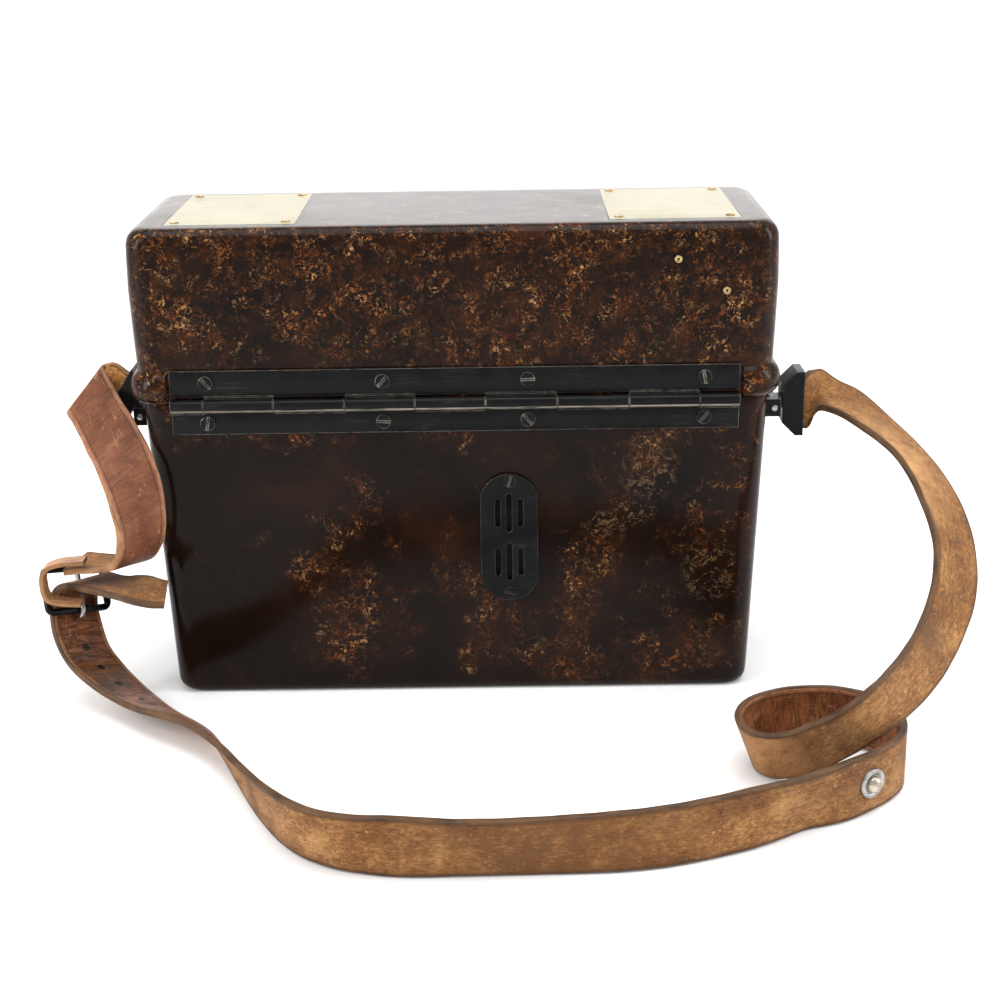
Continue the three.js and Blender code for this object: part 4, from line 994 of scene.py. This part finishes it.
def hinge_leaf(name, first, plate, web, screw_z, body, node):
    parts = [box_part(-120.4, -51.8, plate[0], 120.4, -50.3, plate[1], 0.3)]
    for i in range(first, 9, 2):
        x0, x1 = ENDS[i] + 0.15, ENDS[i + 1] - 0.15
        length = x1 - x0
        near_end = [(1.5, 0), (2.5, 0), (2.72, 0.08), (2.8, 0.3)]
        profile = near_end + [(radius, length - along) for radius, along in reversed(near_end)]
        parts.append(turned_part(profile, (x0, -53.4, 136), (1, 0, 0), 40))
        parts.append(box_part(x0, -51.8, web[0], x1, -50.5, web[1], 0.2))
    settle(joined(name, parts, hinge_steel), body, "black_steel", node)
    for index, x in enumerate(SCREW_X):
        turn = (0.6, 2.3, 1.5, 0.1)[index] + (0.9 if body == "lid" else 0.0)
        head = slotted_screw((x, -51.75, screw_z), (0, -1, 0), 3.1, 0.95, turn, 0.42)
        screw = joined(f"hinge_screw_{body}_{index + 1}_head", head, hinge_steel)
        settle(screw, body, "black_steel", f"hinge_screw_{body}_{index + 1}")


hinge_leaf("hinge_plate_case", 0, (123, 132.7), (132, 134.6), 128, "case", "hinge_leaf_case")
hinge_leaf("hinge_plate_lid", 1, (139.3, 151), (137.4, 140), 145.6, "lid", "hinge_leaf_lid")

# ---- sound plate --------------------------------------------------------------------------
def flat_plate(name, loops, thickness, bevel, material):
    """A flat plate with holes and rounded edges, in the XY plane, centred on z = 0."""
    curve = bpy.data.curves.new(name, "CURVE")
    curve.dimensions = "2D"
    curve.fill_mode = "BOTH"
    for loop in loops:
        loop_line = curve.splines.new("POLY")
        loop_line.points.add(len(loop) - 1)
        for point, (x, y) in zip(loop_line.points, loop):
            point.co = (x * MM, y * MM, 0, 1)
        loop_line.use_cyclic_u = True
    curve.extrude = (thickness / 2 - bevel) * MM
    curve.bevel_depth = bevel * MM
    curve.bevel_resolution = 2
    curve.offset = -bevel * MM
    obj = bpy.data.objects.new(name, curve)
    bpy.context.scene.collection.objects.link(obj)
    bpy.context.view_layer.update()
    mesh = bpy.data.meshes.new_from_object(obj.evaluated_get(bpy.context.evaluated_depsgraph_get()))
    bpy.data.objects.remove(obj)
    mesh.materials.clear()
    mesh.materials.append(material)
    mesh.polygons.foreach_set("use_smooth", [True] * len(mesh.polygons))
    mesh.set_sharp_from_angle(angle=math.radians(30))
    made = bpy.data.objects.new(name, mesh)
    bpy.context.scene.collection.objects.link(made)
    return made


def stadium(cx, cy, width, height, steps=14):
    r, straight = width / 2, (height - width) / 2
    turn = [(r * math.cos(math.pi * i / steps), r * math.sin(math.pi * i / steps)) for i in range(steps + 1)]
    upper = [(cx + x, cy + straight + y) for x, y in turn]
    return upper + [(cx - x, cy - straight - y) for x, y in turn]


loops = [stadium(0, 0, 25, 59, 28)]
for centre in (11.6, -11.3):
    for x, tall in ((-4.9, 13), (0, 17.7), (4.9, 13)):
        loops.append(stadium(x, centre, 2.3, tall, 6))
grille = flat_plate("sound_plate", loops, 1.3, 0.28, black_steel)
lean = math.atan(2.6 / 131)
face_y = -case_size(73.8)[1] - 0.4 - 0.65
grille.matrix_world = Matrix((
    (1, 0, 0, 22.2 * MM),
    (0, -math.sin(lean), -math.cos(lean), face_y * MM),
    (0, math.cos(lean), -math.sin(lean), 73.8 * MM),
    (0, 0, 0, 1),
))
settle(grille, "case", "black_steel", "bell_grille")
for index, z in enumerate((100, 48.1)):
    y = -case_size(z)[1] - 1.65
    head = slotted_screw((22.6, y, z), (0, -1, 0), 2.7, 0.8, (0.5, 2.2)[index], 0.35)
    screw = joined(f"sound_plate_screw_{index + 1}", head, black_steel)
    settle(screw, "case", "black_steel", f"grille_screw_{index + 1}")

# Painted shade: a near-black sheet inside the sound window, so the grille's slots read dark.
window_shade_sheet = joined("sound_window_shade", [box_part(15.5, -47.1, 53.4, 28.9, -46.7, 94.6, 0.1)], shade_black)
settle(window_shade_sheet, "case", "black_steel")

# ---- leather strap ------------------------------------------------------------------------
long_rows = turn_stations(1) + LONG
short_rows = turn_stations(-1) + SHORT
LONG_SOFT = (3.2, 34, 4)
SHORT_SOFT = (2.6, 34, 2)
STEP = 1.5
STRAP_T = 3
hole_points = [(-168.0, -50.9, 25.3), (-161.2, -51.9, 14.6), (-152.2, -59.2, 9.9), (-140.4, -68.9, 6.6)]
hole_runs = distance_to(long_rows, STEP, LONG_SOFT, hole_points)
holes = [(STRAP_MIDDLE, run * MM, 0) for run in hole_runs]
flesh = suede("strap_flesh", 1.0, 0.55, [
    (metres(192, -117, 50), 14 * MM, (0.09, 0.045, 0.02)),
    (metres(40, -205, 14), 75 * MM, (0.13, 0.055, 0.019)),
    # Painted highlight: lighter tan on the top of the long strap's arc beside the right shackle.
    (metres(182, -60, 112), 42 * MM, (0.55, 0.3, 0.12)),
    (metres(120, -150, 12), 34 * MM, (0.42, 0.21, 0.08)),
])
grain = grain_leather(
    "strap_grain", (0.075, 0.02, 0.006), (0.17, 0.055, 0.016), (0.3, 0.12, 0.042), 0.75, (0.36, 0.6), holes,
    [(metres(-158, -60, 12), 22 * MM, (0.055, 0.045, 0.04))],
)
edge = cut_edge("strap_edge", (0.03, 0.014, 0.007), (0.13, 0.065, 0.028))
edge_short = cut_edge("short_strap_edge", (0.12, 0.05, 0.018), (0.4, 0.21, 0.09))
grain_short = grain_leather(
    "short_strap_grain", (0.1, 0.032, 0.014), (0.175, 0.062, 0.028), (0.3, 0.125, 0.06), 0.35, (0.4, 0.62),
)
flesh_short = suede("short_strap_flesh", 1.35, 0.15)
strap_long = strap("shoulder_strap_long", long_rows, STRAP_T, [flesh, grain, edge], STEP, LONG_SOFT)
short_faces = [grain_short, flesh_short, edge_short]
strap_short = strap("shoulder_strap_short", short_rows, STRAP_T, short_faces, STEP, SHORT_SOFT)
for piece, node, body, near_point, far_point in (
    (strap_long, "strap_long", "right_shackle", metres(153.5, -16, 123.5), metres(153.5, -58, 81.5)),
    (strap_short, "strap_short", "left_shackle", metres(-152.5, -15, 131), metres(-140, -60, 96)),
):
    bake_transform(piece)
    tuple(near_point)
    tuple(far_point)
    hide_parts(node)

# ---- buckle, keeper and stud --------------------------------------------------------------
AT = (-171.85, -44.75, 39.08)
ACROSS = (0.621, 0.75, -0.229)
ALONG = (-0.226, 0.621, 0.751)
OUT = (0.705, -0.415, 0.5727)
on_buckle = frame_of(AT, ACROSS, ALONG, OUT)
ring = []
for cx, cy, start in ((13.6, 2.6, -90), (13.6, 17.4, 0), (-13.6, 17.4, 90), (-13.6, 2.6, 180)):
    for i in range(9):
        a = math.radians(start + 90 * i / 8)
        ring.append((cx + 2.6 * math.cos(a), cy + 2.6 * math.sin(a), 3.6))
buckle = joined("buckle_ring", [on_buckle(swept_part(ring, 1.62, 16, True))], buckle_steel, 60)
settle(buckle, "case", "black_steel", "buckle_frame")
# The tongue's middle line: along the strap, then out from its face.
TONGUE = (
    (-3.1, 2.9), (-3.3, 4.2), (-2.7, 5.6), (-1.4, 6.5), (0.5, 6.7), (4, 6.6),
    (9, 6.6), (14, 6.6), (18, 6.7), (20.2, 6.6), (21.3, 6.3),
)
tongue_rows = spline([[0, along, out] * 2 for along, out in TONGUE], 0.8)[:, :3]
tongue_wire = on_buckle(swept_part([tuple(p) for p in tongue_rows], 1.15))
prong = joined("buckle_tongue", [tongue_wire], bright_steel, 60)
settle(prong, "prong", "bright_steel", "buckle_prong")

KEEPER = [(-160, 70.5), (-172, 69.5), (-178.2, 66.5), (-179.5, 60), (-178, 53.5), (-172, 51.5), (-163, 51)]
keeper_rows = [[x, -66, z, x, -58, z] for x, z in KEEPER]
keeper_grain = grain_leather(
    "keeper_grain", (0.3, 0.13, 0.075), (0.5, 0.27, 0.17), (0.68, 0.44, 0.31), 0.2, (0.45, 0.65),
)
keeper_faces = [flesh_short, keeper_grain, edge_short]
keeper = strap("keeper_loop", keeper_rows, 2.0, keeper_faces, 0.8, (1.5, 0, 0))
settle(keeper, "case", "leather", "strap_keeper")

stud_out = Vector((0.5615, -0.8275, 0))
stud_at = Vector((159.6, -163, 13.2)) + stud_out * 1.55
washer = [
    (2.6, 0.0), (6.0, 0.0), (6.15, 0.25), (6.0, 0.75), (5.4, 1.15),
    (4.6, 1.2), (4.05, 0.95), (3.8, 0.6), (3.5, 0.5), (0, 0.5),
]
dome = [(3.45, 0.3), (3.5, 1.2), (3.35, 2.0), (2.9, 2.7), (2.2, 3.25), (1.3, 3.6), (0.5, 3.72), (0, 3.75)]
stud_washer = joined("stud_washer", [turned_part(washer, stud_at, stud_out, 48)], bright_steel)
settle(stud_washer, "case", "brass", "strap_stud")
stud_dome = joined("stud_dome", [turned_part(dome, stud_at, stud_out, 48)], stud_metal)
settle(stud_dome, "case", "brass")

# ---- floor, light and camera --------------------------------------------------------------
def floor_material():
    n = Nodes("pale_floor")
    v = n.coords()
    colour = n.ramp(n.noise(v, 3, 3, 0.5), [(0.3, (0.93, 0.93, 0.93)), (0.7, (0.96, 0.96, 0.96))])
    return n.finish(colour, 0.7, 0.0, n.bump(n.noise(v, 300, 3, 0.5), 0.04, 0.0003), 0.2)


FLOOR_REACH = 20000
floor_corners = [(x * FLOOR_REACH, y * FLOOR_REACH, 0) for x, y in ((-1, -1), (1, -1), (1, 1), (-1, 1))]
ground = new_object("floor", floor_corners, [(0, 1, 2, 3)], floor_material(), False)
ground.location.z = -0.00005

world = bpy.data.worlds.new("studio")
world.use_nodes = True
world.node_tree.nodes["Background"].inputs["Color"].default_value = (1, 1, 1, 1)
world.node_tree.nodes["Background"].inputs["Strength"].default_value = 0.85
bpy.context.scene.world = world


def area_light(name, location, target, size, power):
    data = bpy.data.lights.new(name, "AREA")
    data.shape = "RECTANGLE"
    data.size, data.size_y = size
    data.energy = power
    light = bpy.data.objects.new(name, data)
    light.location = location
    light.rotation_mode = "QUATERNION"
    light.rotation_quaternion = (Vector(target) - Vector(location)).to_track_quat("-Z", "Y")
    light.visible_camera = False
    bpy.context.scene.collection.objects.link(light)
    return light


area_light("overhead", (0.0, -0.1, 1.35), (0, -0.05, 0), (1.3, 0.9), 14)
area_light("back_panel", (0.0, 6.6, 2.3), (0, 0, 0.1), (9.0, 4.4), 150)
area_light("left_strip", (-1.1, -0.5, 0.55), (0, 0, 0.1), (0.25, 0.9), 9)
area_light("right_strip", (1.1, -0.25, 0.55), (0, 0, 0.1), (0.25, 0.9), 9)

pitch, yaw, roll = math.radians(19.089), math.radians(-0.223), math.radians(-0.880)
forward = Vector((math.sin(yaw) * math.cos(pitch), math.cos(yaw) * math.cos(pitch), -math.sin(pitch)))
right = forward.cross(Vector((0, 0, 1))).normalized()
up = right.cross(forward)
right_rolled = right * math.cos(roll) + up * math.sin(roll)
up_rolled = up * math.cos(roll) - right * math.sin(roll)
camera_data = bpy.data.cameras.new("camera")
camera_data.sensor_width = 36
camera_data.lens = 63.283
camera_data.clip_start, camera_data.clip_end = 0.01, 100
camera = bpy.data.objects.new("camera", camera_data)
rotation = Matrix((right_rolled, up_rolled, -forward)).transposed().to_4x4()
camera.matrix_world = Matrix.Translation((0.021168, -0.768452, 0.339817)) @ rotation
bpy.context.scene.collection.objects.link(camera)
bpy.context.scene.camera = camera
bpy.context.scene.view_settings.view_transform = "Standard"
bpy.context.scene.view_settings.look = "None"
